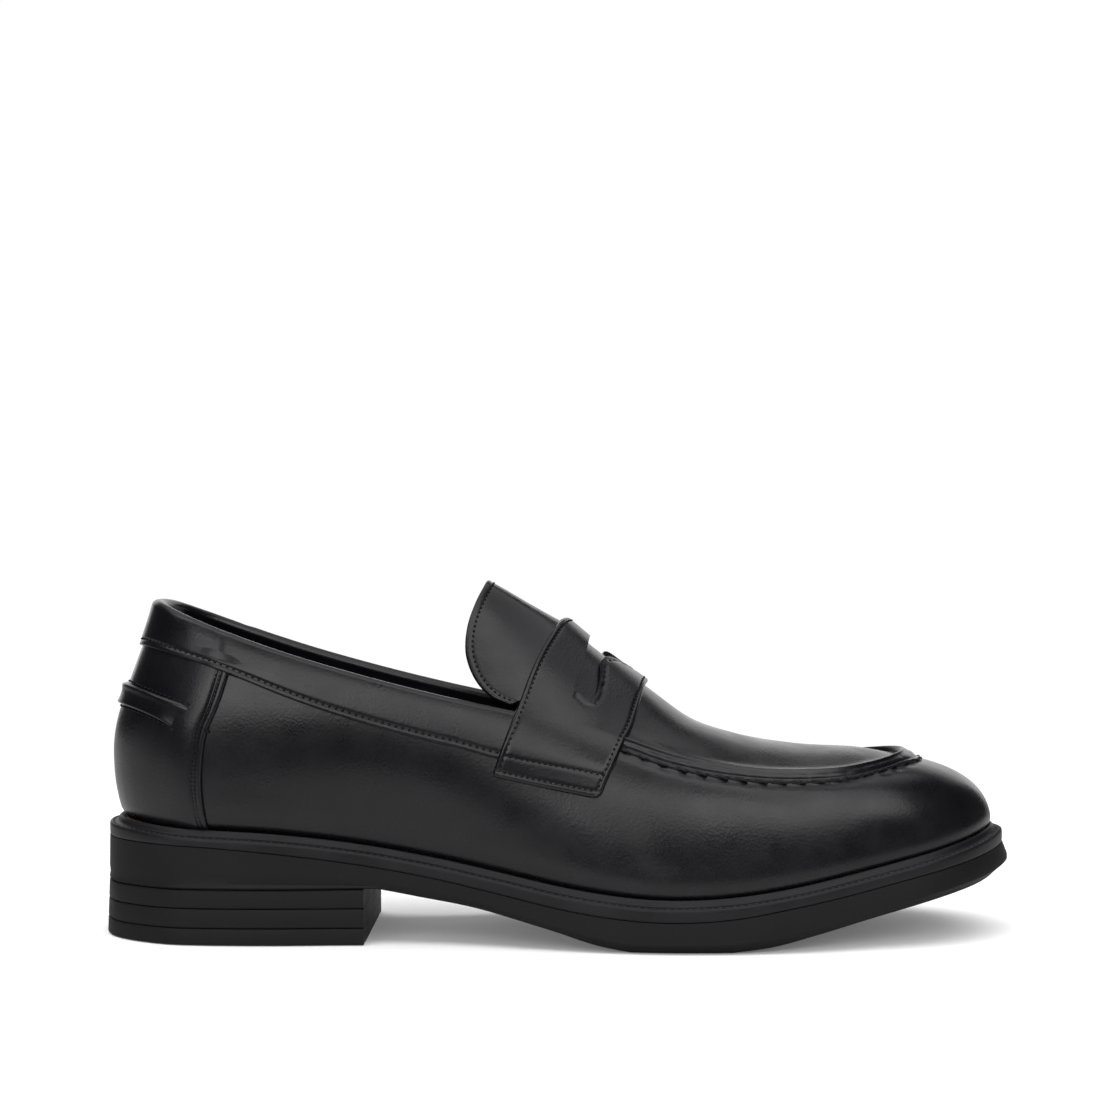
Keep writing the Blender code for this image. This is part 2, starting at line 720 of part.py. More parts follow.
def make_bottom(parts):
    """Outsole, insole board, filler, footbed and sock liner, each in its two lengths."""
    def belly(x):
        return sole_bottom(x) * 0.45 + welt_bottom(x) * 0.55

    sole = [(table_offset(SOLE_EDGE, -0.4), raised(welt_bottom, -GAP)),
            (table_offset(SOLE_EDGE), belly),
            (table_offset(SOLE_FOOT_EDGE), sole_bottom)]
    plates = (
        ("outsole", sole, "rubber"),
        ("insole_board", [(constant(-1.0), raised(feather, -0.2)),
                          (constant(-1.0), raised(feather, -2.0))], "board"),
        ("footbed", [(constant(-5.4), raised(feather, 2.9)),
                     (constant(-5.4), raised(feather, 0.2))], "foam"),
        ("sock_liner", [(constant(-5.5), raised(feather, 4.1)),
                        (constant(-5.5), raised(feather, 3.2))], "lining_leather"),
    )
    for name, edges, finish in plates:
        for half, run in lengths():
            slab(name + "_" + half, run, edges, finish, parts)
    filler = [(constant(-1.6), raised(feather, -2.4)), (constant(-1.6), raised(welt_bottom, 0.1))]
    slab("filler_ball", steps(8.1, BALL - BALL_CUT, 0.5), filler, "cork", parts)
    slab("filler_toe", steps(BALL + BALL_CUT, LAST, 0.5), filler, "cork", parts)
    slab("heel_seat_pad", steps(0, 3.5, 0.5), filler, "board", parts)


def make_shank(parts):
    """Steel strip under the waist."""
    half_width = 6.0
    rings = []
    for x in steps(-92, 6, 12):
        top = feather(x) - 2.5
        rings.append([np.array((x, y, z)) for y, z in ((-half_width, top), (half_width, top),
                                                      (half_width, top - 1.2),
                                                      (-half_width, top - 1.2))])
    ring_loft("steel_shank", rings, "steel", parts)


def welt_section(t, side):
    """Outline of the welt's cross-section."""
    def top(x):
        return feather(x) - 0.2

    def shoulder(x):
        return feather(x) - 1.0

    def lip(x):
        return feather(x) - 2.4

    edges = ((0.4, top), (2.6, shoulder), (WELT_EDGE - 0.5, shoulder), (WELT_EDGE, lip),
             (WELT_EDGE, raised(welt_bottom, 0.1)), (0.4, raised(welt_bottom, 0.1)))
    return [edge_point(t, side, offset, height) for offset, height in edges]


def make_welt(parts):
    """Welt round the whole shoe and its thread, each in its two lengths."""
    runs = (("rear", -(BALL - BALL_CUT), BALL - BALL_CUT),
            ("toe", BALL + BALL_CUT, 2 * LAST - BALL - BALL_CUT))
    for name, start, end in runs:
        rings = []
        thread = []
        for p in steps(start, end, 0.5):
            t, side = around(p)
            rings.append(welt_section(t, side))
            thread.append(edge_point(t, side, 3.1, raised(feather, -0.1)))
        ring_loft("welt_" + name, rings, "welt", parts)
        tube("welt_thread_" + name, thread, 0.35, "thread", parts)


def make_heel(parts):
    """Two lifts and the top piece, all cut straight across at the breast."""
    low, high = 0.0, 8.0
    for _ in range(40):
        middle = (low + high) / 2
        low, high = (middle, high) if station(middle)[0] < BREAST_X else (low, middle)
    run = steps(0, low, 0.5)
    for name, bottom, top in LIFT_HEIGHTS:
        def spread(z):
            return 4.5 + HEEL_FLARE * (SEAT_HEIGHT - z)

        bevel = 0.5
        profile = [(spread(top) - bevel, top), (spread(top), top - bevel),
                   (spread(bottom), bottom + bevel), (spread(bottom) - bevel, bottom)]
        rings = []
        for t in run:
            lateral = [edge_point(t, LATERAL, offset, constant(z)) for offset, z in profile]
            medial = [edge_point(t, MEDIAL, offset, constant(z)) for offset, z in profile]
            rings.append(lateral + medial[::-1])
        for point in rings[-1]:
            point[0] = BREAST_X
        ring_loft(name, rings, "rubber", parts)


def mesh_from(guide, name, collection):
    """Closed mesh object made from a curve object, which it replaces."""
    evaluated = guide.evaluated_get(bpy.context.evaluated_depsgraph_get())
    mesh = bpy.data.meshes.new_from_object(evaluated)
    bm = bmesh.new()
    bm.from_mesh(mesh)
    bmesh.ops.remove_doubles(bm, verts=bm.verts, dist=0.01 * MM)
    bmesh.ops.recalc_face_normals(bm, faces=bm.faces)
    bm.to_mesh(mesh)
    bm.free()
    obj = bpy.data.objects.new(name, mesh)
    obj.matrix_world = guide.matrix_world.copy()
    obj.hide_render = True
    obj.display_type = "WIRE"
    collection.objects.link(obj)
    bpy.data.objects.remove(guide, do_unlink=True)
    return obj


def cut(target, cutter):
    """Subtract a cutter from a node."""
    boolean = target.modifiers.new("cut_" + cutter.name, "BOOLEAN")
    boolean.operation = "DIFFERENCE"
    boolean.solver = "EXACT"
    boolean.object = cutter


def turned_pin(name, levels):
    """Mesh of a straight pin: levels are (height, radius) from its tip up."""
    mesh = bpy.data.meshes.new(name)
    bm = bmesh.new()
    rings = []
    for z, radius in levels:
        angles = [2 * math.pi * k / NAIL_SIDES for k in range(NAIL_SIDES)]
        rings.append([bm.verts.new((radius * MM * math.cos(a), radius * MM * math.sin(a), z * MM))
                      for a in angles])
    for near, far in zip(rings, rings[1:]):
        for k in range(NAIL_SIDES):
            after = (k + 1) % NAIL_SIDES
            bm.faces.new((near[k], near[after], far[after], far[k]))
    bm.faces.new(rings[0][::-1])
    bm.faces.new(rings[-1])
    bm.to_mesh(mesh)
    bm.free()
    return mesh


def make_nails(parts, cutters):
    """Heel nails, their heads in the insole board, through the seat and both lifts."""
    drilled = [bpy.data.objects[name] for name in ("insole_board_rear", "heel_seat_pad",
                                                   "outsole_rear", "heel_lift_upper",
                                                   "heel_lift_lower")]
    for k, (x, y) in enumerate(NAIL_PLACES):
        head = feather(x) - 0.5
        neck = head - NAIL_HEAD_HEIGHT
        name = "heel_nail_%d" % (k + 1)
        pin = turned_pin(name, [(NAIL_TIP, NAIL_RADIUS * 0.5), (NAIL_TIP + 2, NAIL_RADIUS),
                                (neck, NAIL_RADIUS), (neck + 0.01, NAIL_HEAD_RADIUS),
                                (head, NAIL_HEAD_RADIUS)])
        nail = place(name, pin, "steel", parts)
        nail.location = (x * MM, y * MM, 0)
        wide = NAIL_CLEARANCE + NAIL_HEAD_RADIUS
        narrow = NAIL_CLEARANCE + NAIL_RADIUS
        step = feather(x) - 2.2
        bore = turned_pin(name + "_bore", [(NAIL_TIP - 0.6, narrow), (step - 0.01, narrow),
                                           (step, wide), (head + 4, wide)])
        cutter = bpy.data.objects.new(name + "_bore", bore)
        cutter.location = nail.location
        cutter.hide_render = True
        cutter.display_type = "WIRE"
        cutters.objects.link(cutter)
        for target in drilled:
            cut(target, cutter)


# ---------------------------------------------------------------- the shoe

def hang_on_joint(name, pivot, nodes, collection):
    """Parent the nodes of a moving body to an empty on its joint's axis."""
    empty = bpy.data.objects.new(name, None)
    empty.location = pivot
    collection.objects.link(empty)
    bpy.context.view_layer.update()
    for node in nodes:
        node.parent = empty
        node.matrix_parent_inverse = empty.matrix_world.inverted()


def main():
    """Build the whole shoe."""
    clear_scene()
    parts = new_collection("penny_loafer")
    cutters = new_collection("cutters")
    make_bottom(parts)
    make_shank(parts)
    make_welt(parts)
    make_heel(parts)
    make_nails(parts, cutters)
    make_outer_leather(parts)
    make_inner_layers(parts)
    make_saddle(parts, cutters)
    make_seam_trim(parts)
    make_heel_roll(parts)
    flap = make_tongue(parts)
    hang_on_joint("tongue_axis", (0.6 * MM, 0, 102.0 * MM), flap, parts)
    forepart = [obj for obj in parts.objects
                if obj.name.endswith("_toe") or obj.name == "toe_puff"]
    hang_on_joint("ball_axis", (56 * MM, 0, 18 * MM), forepart, parts)


main()
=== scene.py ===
"""Looks of the penny loafer: black calf, hand-stitched apron, rubber sole, on a white studio floor.

Sizes are in millimetres until a mesh is made. The upper repeats the part's skin: p runs round the
shoe from 0 at the heel's back along the outer side to LAST at the toe and back along the inner
side, and r runs from 0 at the welt to 1 at the top edge and 2 at the ridge over the foot.
"""
import math

import bmesh
import bpy
import numpy as np
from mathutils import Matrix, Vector


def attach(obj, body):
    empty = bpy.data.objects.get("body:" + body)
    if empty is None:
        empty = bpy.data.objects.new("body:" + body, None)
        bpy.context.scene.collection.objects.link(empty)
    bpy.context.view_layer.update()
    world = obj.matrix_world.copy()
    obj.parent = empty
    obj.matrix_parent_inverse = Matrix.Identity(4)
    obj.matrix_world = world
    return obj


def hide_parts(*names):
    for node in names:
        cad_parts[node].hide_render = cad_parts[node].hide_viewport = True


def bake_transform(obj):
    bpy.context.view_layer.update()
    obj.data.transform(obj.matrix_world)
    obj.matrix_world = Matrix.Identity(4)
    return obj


MM = 0.001

# ---------------------------------------------------------------- the part's skin

STATIONS = np.array([
    (-145.5, 0.0, 0.0, -134.6, 0.0, 107.8),
    (-141.0, 15.5, 15.5, -131.5, 13.0, 107.0),
    (-127.0, 26.5, 26.5, -122.0, 22.5, 103.2),
    (-112.6, 29.8, 29.5, -106.0, 27.8, 97.2),
    (-90.0, 30.5, 28.5, -84.0, 31.0, 89.9),
    (-62.0, 29.5, 25.0, -58.0, 33.0, 82.6),
    (-35.0, 32.0, 24.0, -34.0, 34.0, 76.8),
    (-8.0, 38.5, 29.5, -10.0, 34.0, 71.8),
    (18.0, 44.0, 38.0, 14.0, 32.8, 66.6),
    (43.0, 46.3, 44.5, 38.0, 35.5, 58.6),
    (72.0, 44.0, 45.8, 63.0, 35.2, 54.5),
    (98.0, 37.5, 40.0, 86.0, 30.5, 53.9),
    (121.0, 30.0, 32.0, 100.8, 23.0, 55.3),
    (137.0, 17.5, 18.5, 110.8, 12.6, 56.9),
    (143.8, 0.0, 0.0, 115.0, 0.0, 57.3),
])
LAST = len(STATIONS) - 1
ROUND = 2 * LAST
MIRRORED_COLUMNS = np.array([1, -1, -1, 1, -1, 1])
FULLNESS = np.array([
    (7.0, 32.0, 13.0, 41.0),
    (6.4, 29.0, 12.6, 36.0),
    (5.2, 24.0, 11.4, 29.0),
    (4.0, 19.0, 9.0, 21.0),
    (4.0, 18.0, 7.5, 18.0),
    (4.0, 16.0, 6.5, 16.0),
    (4.0, 15.0, 6.5, 15.0),
    (4.0, 15.0, 7.0, 14.0),
    (3.0, 14.5, 9.0, 12.0),
    (2.0, 13.5, 8.5, 6.5),
    (1.5, 12.5, 8.0, 5.0),
    (1.0, 12.0, 8.5, 5.0),
    (0.8, 10.5, 14.0, 4.6),
    (1.4, 9.0, 20.5, 4.2),
    (1.6, 8.5, 25.0, 4.2),
])
CROWN_START = 6
CROWN = np.array([
    (-12.0, 5.0, 12.0, 14.0),
    (5.0, 6.0, 10.5, 15.0),
    (26.0, 7.0, 6.5, 16.0),
    (44.0, 9.0, 3.6, 15.0),
    (66.0, 9.0, 2.2, 15.0),
    (88.0, 8.0, 1.2, 13.0),
    (101.8, 6.5, 0.7, 10.0),
    (111.2, 3.5, 0.2, 5.0),
    (115.0, 0.0, 0.0, 0.0),
])
RIDGE_HEIGHT = [(-26, 117.0), (1, 102.0), (10.4, 94.2), (30, 79.5), (43.5, 69.9), (57, 65.1),
                (77, 61.3), (100, 59.1), (109, 58.0), (115, 57.3), (122, 57.2)]
FEATHER_HEIGHT = [(-150, 38.0), (-125, 35.9), (-89, 33.8), (-63, 30.6), (-45, 27.6), (-20, 22.8),
                  (5, 18.0), (30, 15.4), (56, 16.3), (74, 18.8), (92, 22.2), (111, 26.2),
                  (131, 30.7), (146, 34.6)]
WELT_BOTTOM = [(-150, 32.2), (-109, 30.6), (-83, 28.0), (-63, 25.2), (-45, 22.2), (-20, 17.2),
               (5, 12.2), (30, 9.7), (56, 10.9), (73, 13.7), (92, 17.2), (110, 21.0),
               (131, 25.4), (150, 29.6)]
SOLE_BOTTOM = [(-45, 15.4), (-25, 11.8), (-11, 8.2), (0, 5.2), (10, 2.2), (20, 0.3), (22, 0.0)]
TOE_SPRING = [(54, 0.0), (66, 1.4), (80, 4.6), (98, 9.0), (118, 13.6), (139, 18.2), (151, 21.4)]
CONTACT_START = 22.0
CONTACT_END = 54.0
SEAT_HEIGHT = 17.8
SEAT_END = -58.0
SOLE_EDGE = [(-151, 4.5), (60, 4.9), (125, 5.6), (151, 6.3)]
SOLE_FOOT_EDGE = [(-151, 4.5), (-60, 4.4), (-40, 3.4), (151, 2.6)]
TOE_SWING = 3.0
RIB_PITCH = 6.5
RIB_DEPTH = 1.1
BREAST_X = -62.5
HEEL_FLARE = 0.03
LIFT_EDGE = 4.5
HEEL_SEAM = 3.0
SADDLE_LINE = 6.8
COLLAR_EDGE = [(0, 0.873), (1, 0.871), (2, 0.862), (3, 0.833), (5, 0.745), (6, 0.73), (7, 0.73),
               (7.4, 0.80), (7.8, 0.92), (8.1, 0.945), (8.4, 0.95), (9, 0.95), (14, 0.95)]
SADDLE_REAR = [(0.60, -21.6), (1.0, -14.8), (1.35, -9.6), (1.7, -3.2), (2.0, 1.2)]
SADDLE_FRONT = [(0.58, 12.6), (1.0, 20.6), (1.5, 25.2), (2.0, 28.4)]
SADDLE_END_REAR = 0.60
SADDLE_END_FRONT = 0.58
SLOT = [(10.2, 0.0), (9.2, -10.0), (7.4, -19.0), (4.4, -27.0), (8.6, -27.9), (11.8, -25.5),
        (13.6, -19.5), (14.4, -11.0), (17.6, -5.5), (23.8, 0.0)]
SLOT_CORNER = 3
TONGUE_EDGE = np.array([
    (-24.2, 0.0, 116.2),
    (-25.0, 6.0, 114.6),
    (-27.9, 12.0, 108.6),
    (-30.3, 17.0, 101.0),
    (-30.6, 21.5, 92.6),
    (-27.6, 25.6, 84.8),
    (-22.4, 29.0, 79.2),
    (-16.4, 31.0, 76.4),
])

VAMP_LEATHER = 1.4
COVER_LEATHER = 1.3
STRAP_LEATHER = 1.0
SADDLE_LEATHER = 1.7
TONGUE_LEATHER = 1.25
FOOT_OF_WALL = 0.004
UNDER_SEAM = 0.97
BACK_STATION = 17.0
APRON_ARC = 0.8
TONGUE_SPREAD = 0.86
HAND_PITCH = 6.6
FINE_STITCH = {"pitch": 1.85, "length": 0.95, "radius": 0.32}

NAILS = ["heel_nail_%d" % (k + 1) for k in range(5)]


def along(table, x):
    """Smooth values of a table of (x, value) rows at x."""
    keys, values = np.array(table, dtype=float).T
    slopes = np.gradient(values, keys)
    x = np.clip(x, keys[0], keys[-1])
    k = np.clip(np.searchsorted(keys, x, side="right") - 1, 0, len(keys) - 2)
    span = keys[k + 1] - keys[k]
    u = (x - keys[k]) / span
    return (values[k] * (1 + 2 * u) * (1 - u) ** 2 + values[k + 1] * u * u * (3 - 2 * u)
            + span * (slopes[k] * u * (1 - u) ** 2 - slopes[k + 1] * u * u * (1 - u)))


def catmull_rom(rows, t, before, after):
    """Rows of a table at stations t, on a smooth curve through the table."""
    t = np.asarray(t, dtype=float)
    padded = np.vstack([before, rows, after])
    k = np.clip(np.floor(t).astype(int), 0, len(rows) - 2)
    u = (t - k)[..., None]
    a, b, c, d = padded[k], padded[k + 1], padded[k + 2], padded[k + 3]
    return 0.5 * (2 * b + (c - a) * u + (2 * a - 5 * b + 4 * c - d) * u * u
                  + (3 * b - a - 3 * c + d) * u ** 3)


def bezier(a, b, c, d, u):
    """Points on cubic curves."""
    return a * (1 - u) ** 3 + 3 * b * u * (1 - u) ** 2 + 3 * c * u * u * (1 - u) + d * u ** 3


def station(t):
    """Feather line and top edge at stations t."""
    return catmull_rom(STATIONS, t, STATIONS[1] * MIRRORED_COLUMNS,
                       STATIONS[-2] * MIRRORED_COLUMNS)


def outline(t, side):
    """Feather line's (x, half width)."""
    row = station(t)
    return np.stack([row[..., 0], np.where(side < 0, row[..., 1], row[..., 2])], axis=-1)


def top_outline(t, side):
    """Top edge's (x, half width)."""
    return station(t)[..., 3:5]


def outward(curve, t, side):
    """Unit outward direction (x, half width) of a plan curve."""
    step = 0.05
    change = curve(t + step, side) - curve(t - step, side)
    direction = np.stack([-change[..., 1], change[..., 0]], axis=-1)
    return direction / np.linalg.norm(direction, axis=-1, keepdims=True)


def swing(x):
    """How far the toe end leans to the inner side."""
    return TOE_SWING * (np.maximum(x, 0.0) / 145.0) ** 2


def wall(t, side, r):
    """Points (x, half width, z) on the wall."""
    row = station(t)
    fullness = catmull_rom(FULLNESS, t, FULLNESS[1], FULLNESS[-2])
    foot = np.concatenate([outline(t, side), along(FEATHER_HEIGHT, row[..., 0])[..., None]], -1)
    top = row[..., 3:6]
    foot_out = outward(outline, t, side) * fullness[..., 0:1]
    top_out = outward(top_outline, t, side) * fullness[..., 2:3]
    foot_handle = foot + np.concatenate([foot_out, fullness[..., 1:2]], -1)
    top_handle = top + np.concatenate([top_out, -fullness[..., 3:4]], -1)
    return bezier(foot, foot_handle, top_handle, top, r[..., None])


def crown(t, r):
    """Points (x, half width, z) on the crown, from the top edge at r = 1 to the ridge at 2."""
    top = station(t)[..., 3:6]
    extra = 2 * CROWN[0] - CROWN[1]
    row = catmull_rom(CROWN, t - CROWN_START, extra, CROWN[-2])
    x, inward, up, flat = np.moveaxis(row, -1, 0)
    zero = np.zeros_like(x)
    ridge = np.stack([x, zero, along(RIDGE_HEIGHT, x)], axis=-1)
    lean = (ridge[..., 0] - top[..., 0]) / 3
    edge_handle = top + np.stack([lean, -inward, up], axis=-1)
    ridge_handle = ridge + np.stack([-lean * 0.5, flat, zero], axis=-1)
    return bezier(top, edge_handle, ridge_handle, ridge, (r - 1)[..., None])


def around(p):
    """Station and side at p on the way round."""
    p = np.mod(p, ROUND)
    return np.where(p > LAST, ROUND - p, p), np.where(p > LAST, 1.0, -1.0)


def skin(p, r):
    """Points of the skin; r above 2 is past the ridge, on the other side."""
    p, r = np.broadcast_arrays(np.asarray(p, dtype=float), np.asarray(r, dtype=float))
    p = np.where(r > 2, -p, p)
    r = np.where(r > 2, 4 - r, r)
    t, side = around(p)
    low = wall(t, side, np.where(t < CROWN_START, r, np.minimum(r, 1.0)))
    high = crown(t, np.clip(r, 1.0, 2.0))
    point = np.where(((r <= 1) | (t < CROWN_START))[..., None], low, high)
    return np.stack([point[..., 0], side * point[..., 1] + swing(point[..., 0]),
                     point[..., 2]], axis=-1)


def unit(vectors):
    """Vectors scaled to length 1."""
    return vectors / np.maximum(np.linalg.norm(vectors, axis=-1, keepdims=True), 1e-9)


def skin_frame(p, r):
    """Outward normal, upward direction and millimetres per unit of r."""
    p, r = np.broadcast_arrays(np.asarray(p, dtype=float), np.asarray(r, dtype=float))
    step = 0.02
    from_toe = np.mod(p, ROUND) - LAST
    narrow = (r > 1 + step) & (np.abs(from_toe) < 0.6)
    p = np.where(narrow, LAST + np.where(from_toe > 0, 0.6, -0.6), p)
    low = np.maximum(r - step, 0.0)
    ahead = skin(p + step, r) - skin(p - step, r)
    upward = skin(p, r + step) - skin(p, low)
    scale = np.linalg.norm(upward, axis=-1) / (r + step - low)
    return unit(np.cross(ahead, upward)), unit(upward), scale


def climb(p, r, distance):
    """Height reached by going `distance` millimetres up the skin from r."""
    return r + distance / skin_frame(p, r)[2]


def on_skin(p, r, out=0.0, up=0.0):
    """Points `out` millimetres outside the skin and `up` millimetres above r along it."""
    normal, upward, _ = skin_frame(p, r)
    out = np.asarray(out, dtype=float)[..., None]
    up = np.asarray(up, dtype=float)[..., None]
    return skin(p, r) + normal * out + upward * up


def smoothstep(low, high, x):
    """0 below low, 1 above high, smooth between."""
    u = np.clip((x - low) / (high - low), 0.0, 1.0)
    return u * u * (3 - 2 * u)


def bump_at(x, centre, width):
    """Smooth hump of height 1."""
    return np.exp(-((x - centre) / width) ** 2)


def ripple(points, size, seed):
    """Soft unevenness of lasted leather at points, within about +-1."""
    x, y, z = (points[..., k] / size for k in range(3))
    total = np.sin(x + 1.7 * np.sin(z * 0.9 + seed) + seed)
    total += np.sin(z * 1.6 + 1.3 * np.sin(x * 0.7 - seed) + 2.1 * seed)
    total += np.sin((x + y - z) * 0.8 + 3.3 * seed)
    return total / 3


# ---------------------------------------------------------------- meshes

def grid_quads(rows, columns, closed_rows=False, closed_columns=False):
    """Quads of a grid of vertices, row after row."""
    i = np.arange(rows if closed_rows else rows - 1)
    j = np.arange(columns if closed_columns else columns - 1)
    i, j = (index.ravel() for index in np.meshgrid(i, j, indexing="ij"))
    i2 = (i + 1) % rows
    j2 = (j + 1) % columns
    return np.stack([i * columns + j, i2 * columns + j, i2 * columns + j2, i * columns + j2], -1)


def linked(name, data):
    """New object in the scene."""
    obj = bpy.data.objects.new(name, data)
    bpy.context.scene.collection.objects.link(obj)
    return obj


def smooth(mesh, crease):
    """Shade a mesh smooth, with edges sharper than the crease angle kept."""
    mesh.shade_smooth()
    mesh.set_sharp_from_angle(angle=math.radians(crease))


def mesh_object(name, points, faces, material, crease=40):
    """Closed mesh from points in millimetres, shaded smooth with its sharp edges kept."""
    mesh = bpy.data.meshes.new(name)
    points = np.asarray(points, dtype=float).reshape(-1, 3) * MM
    mesh.from_pydata(points.tolist(), [], [list(face) for face in faces])
    bm = bmesh.new()
    bm.from_mesh(mesh)
    bmesh.ops.remove_doubles(bm, verts=bm.verts, dist=0.002 * MM)
    bmesh.ops.recalc_face_normals(bm, faces=bm.faces)
    bm.to_mesh(mesh)
    bm.free()
    smooth(mesh, crease)
    mesh.materials.append(material)
    return linked(name, mesh)


def loft(name, rings, material, closed=False, crease=40):
    """Solid through closed rings. An open run gets a ladder of faces across each end."""
    rows, size = rings.shape[:2]
    faces = grid_quads(rows, size, closed_rows=closed, closed_columns=True).tolist()
    if not closed:
        for start in (0, (rows - 1) * size):
            faces += [(start + k, start + k + 1, start + size - 2 - k, start + size - 1 - k)
                      for k in range(size // 2 - 1)]
    return mesh_object(name, rings, faces, material, crease)


def grid_normals(grid):
    """Unit normals of a grid of points."""
    return unit(np.cross(np.gradient(grid, axis=0), np.gradient(grid, axis=1)))


def faced(name, outer, inner, material, closed=False):
    """Solid between rows of outer and of inner points."""
    return loft(name, np.concatenate([outer, inner[:, ::-1]], axis=1), material, closed)


def sheet(name, outer, thickness, material):
    """Leather sheet: rows of outer points, thickened against the grid's normal."""
    return faced(name, outer, outer - grid_normals(outer) * thickness, material)


def distance_along(path):
    """Distance travelled to each point of a path."""
    return np.concatenate([[0], np.cumsum(np.linalg.norm(np.diff(path, axis=0), axis=1))])


def stitches(name, path, normals, material, pitch=2.0, length=1.35, radius=0.28, rise=0.12,
             lean=0.0):
    """Row of separate stitches along a path, each dipping into the leather at both ends."""
    travelled = distance_along(path)
    count = max(1, int(travelled[-1] / pitch))
    centres = (np.arange(count) + 0.5) * travelled[-1] / count
    u = np.array([-1.0, -0.86, -0.5, 0.0, 0.5, 0.86, 1.0])
    s = np.clip(centres[:, None] + u * length / 2, 0, travelled[-1])

    def read(values):
        return np.stack([np.interp(s, travelled, values[:, k]) for k in range(3)], axis=-1)

    middle = read(path)
    normal = unit(read(normals))
    tangent = unit(np.gradient(middle, axis=1))
    across = unit(np.cross(tangent, normal))
    height = rise - (rise + radius) * np.abs(u) ** 4
    middle = middle + normal * height[:, None] + across * (lean * u)[:, None]
    thickness = radius * np.sqrt(np.clip(1.02 - np.abs(u) ** 5, 0.02, 1))
    sides = 8
    angles = np.arange(sides) * 2 * math.pi / sides
    ring = (np.cos(angles)[:, None] * across[:, :, None, :]
            + np.sin(angles)[:, None] * normal[:, :, None, :])
    points = middle[:, :, None, :] + ring * thickness[:, None, None]
    rings = len(u)
    quads = grid_quads(rings, sides, closed_columns=True)
    cap = [np.arange(sides)[::-1], np.arange(sides) + (rings - 1) * sides]
    faces = []
    for k in range(count):
        start = k * rings * sides
        faces += (quads + start).tolist()
        faces += [(end + start).tolist() for end in cap]
    return mesh_object(name, points, faces, material, crease=80)


def stitched(name, p, r, out, material, **form):
    """Row of stitches `out` millimetres outside the skin at p and r."""
    return stitches(name, on_skin(p, r, out), skin_frame(p, r)[0], material, **form)


def joined(name, parts):
    """One object from several, which go."""
    mesh = bpy.data.meshes.new(name)
    bm = bmesh.new()
    for part in parts:
        bm.from_mesh(part.data)
    bm.to_mesh(mesh)
    bm.free()
    mesh.materials.append(parts[0].data.materials[0])
    for part in parts:
        bpy.data.objects.remove(part, do_unlink=True)
    return linked(name, mesh)


# ---------------------------------------------------------------- materials

def fill_in(made, settings):
    """Set a node's inputs by name, with _ for each space."""
    for socket, value in settings.items():
        made.inputs[socket.replace("_", " ")].default_value = value


def new_material(name, colour, roughness, **settings):
    """Material with fixed values on its shader's own sockets."""
    material = bpy.data.materials.new(name)
    material.use_nodes = True
    shader = material.node_tree.nodes["Principled BSDF"]
    shader.inputs["Base Color"].default_value = (*colour, 1)
    shader.inputs["Roughness"].default_value = roughness
    fill_in(shader, settings)
    return material, material.node_tree, shader


def node(tree, kind, **settings):
    """New node with values set on its inputs by name."""
    made = tree.nodes.new(kind)
    fill_in(made, settings)
    return made


def mix_shaders(tree, share, first, second):
    """Mix of two shader outputs by a value output."""
    mix = tree.nodes.new("ShaderNodeMixShader")
    for k, source in enumerate((share, first, second)):
        tree.links.new(source, mix.inputs[k])
    return mix.outputs["Shader"]


def noise(tree, scale, detail=2.0, roughness=0.5):
    """Noise on the object's own coordinates, in features per metre."""
    place = tree.nodes.new("ShaderNodeTexCoord")
    made = node(tree, "ShaderNodeTexNoise", Scale=scale, Detail=detail, Roughness=roughness)
    tree.links.new(place.outputs["Object"], made.inputs["Vector"])
    return made


def cells(tree, scale):
    """Grain cells on the object's own coordinates."""
    place = tree.nodes.new("ShaderNodeTexCoord")
    made = tree.nodes.new("ShaderNodeTexVoronoi")
    made.feature = "SMOOTH_F1"
    fill_in(made, {"Scale": scale, "Smoothness": 0.6})
    tree.links.new(place.outputs["Object"], made.inputs["Vector"])
    return made


def spread(tree, source, low, high):
    """Map the middle of a 0..1 value's range to low..high."""
    made = node(tree, "ShaderNodeMapRange", From_Min=0.3, From_Max=0.7, To_Min=low, To_Max=high)
    tree.links.new(source, made.inputs["Value"])
    return made.outputs["Result"]


def two_colours(tree, source, dark, light):
    """Blend two colours by a value."""
    ramp = tree.nodes.new("ShaderNodeValToRGB")
    for stop, position, colour in zip(ramp.color_ramp.elements, (0.35, 0.65), (dark, light)):
        stop.position = position
        stop.color = (*colour, 1)
    tree.links.new(source, ramp.inputs["Fac"])
    return ramp.outputs["Color"]


def bumps(tree, shader, layers):
    """Chain of bumps: (source, strength, distance in millimetres)."""
    previous = None
    for source, strength, distance in layers:
        made = node(tree, "ShaderNodeBump", Strength=strength, Distance=distance * MM)
        tree.links.new(source, made.inputs["Height"])
        if previous:
            tree.links.new(previous, made.inputs["Normal"])
        previous = made.outputs["Normal"]
    tree.links.new(previous, shader.inputs["Normal"])


def leather(name, dark, light, roughness, polish, grain):
    """Grained leather: cells and pores, an uneven polish and a soft large-scale unevenness."""
    material, tree, shader = new_material(name, light, roughness[0], Coat_Weight=polish,
                                          Coat_Roughness=0.25, Specular_IOR_Level=0.40)
    cloud = noise(tree, 38, 3.0)
    fine = noise(tree, 900, 2.0, 0.6)
    pores = cells(tree, 1150)
    tree.links.new(two_colours(tree, cloud.outputs["Fac"], dark, light),
                   shader.inputs["Base Color"])
    tree.links.new(spread(tree, noise(tree, 95, 3.0).outputs["Fac"], *roughness),
                   shader.inputs["Roughness"])
    bumps(tree, shader, [(cloud.outputs["Fac"], 0.16, 1.0),
                         (pores.outputs["Distance"], grain, 0.09),
                         (fine.outputs["Fac"], grain, 0.05)])
    return material


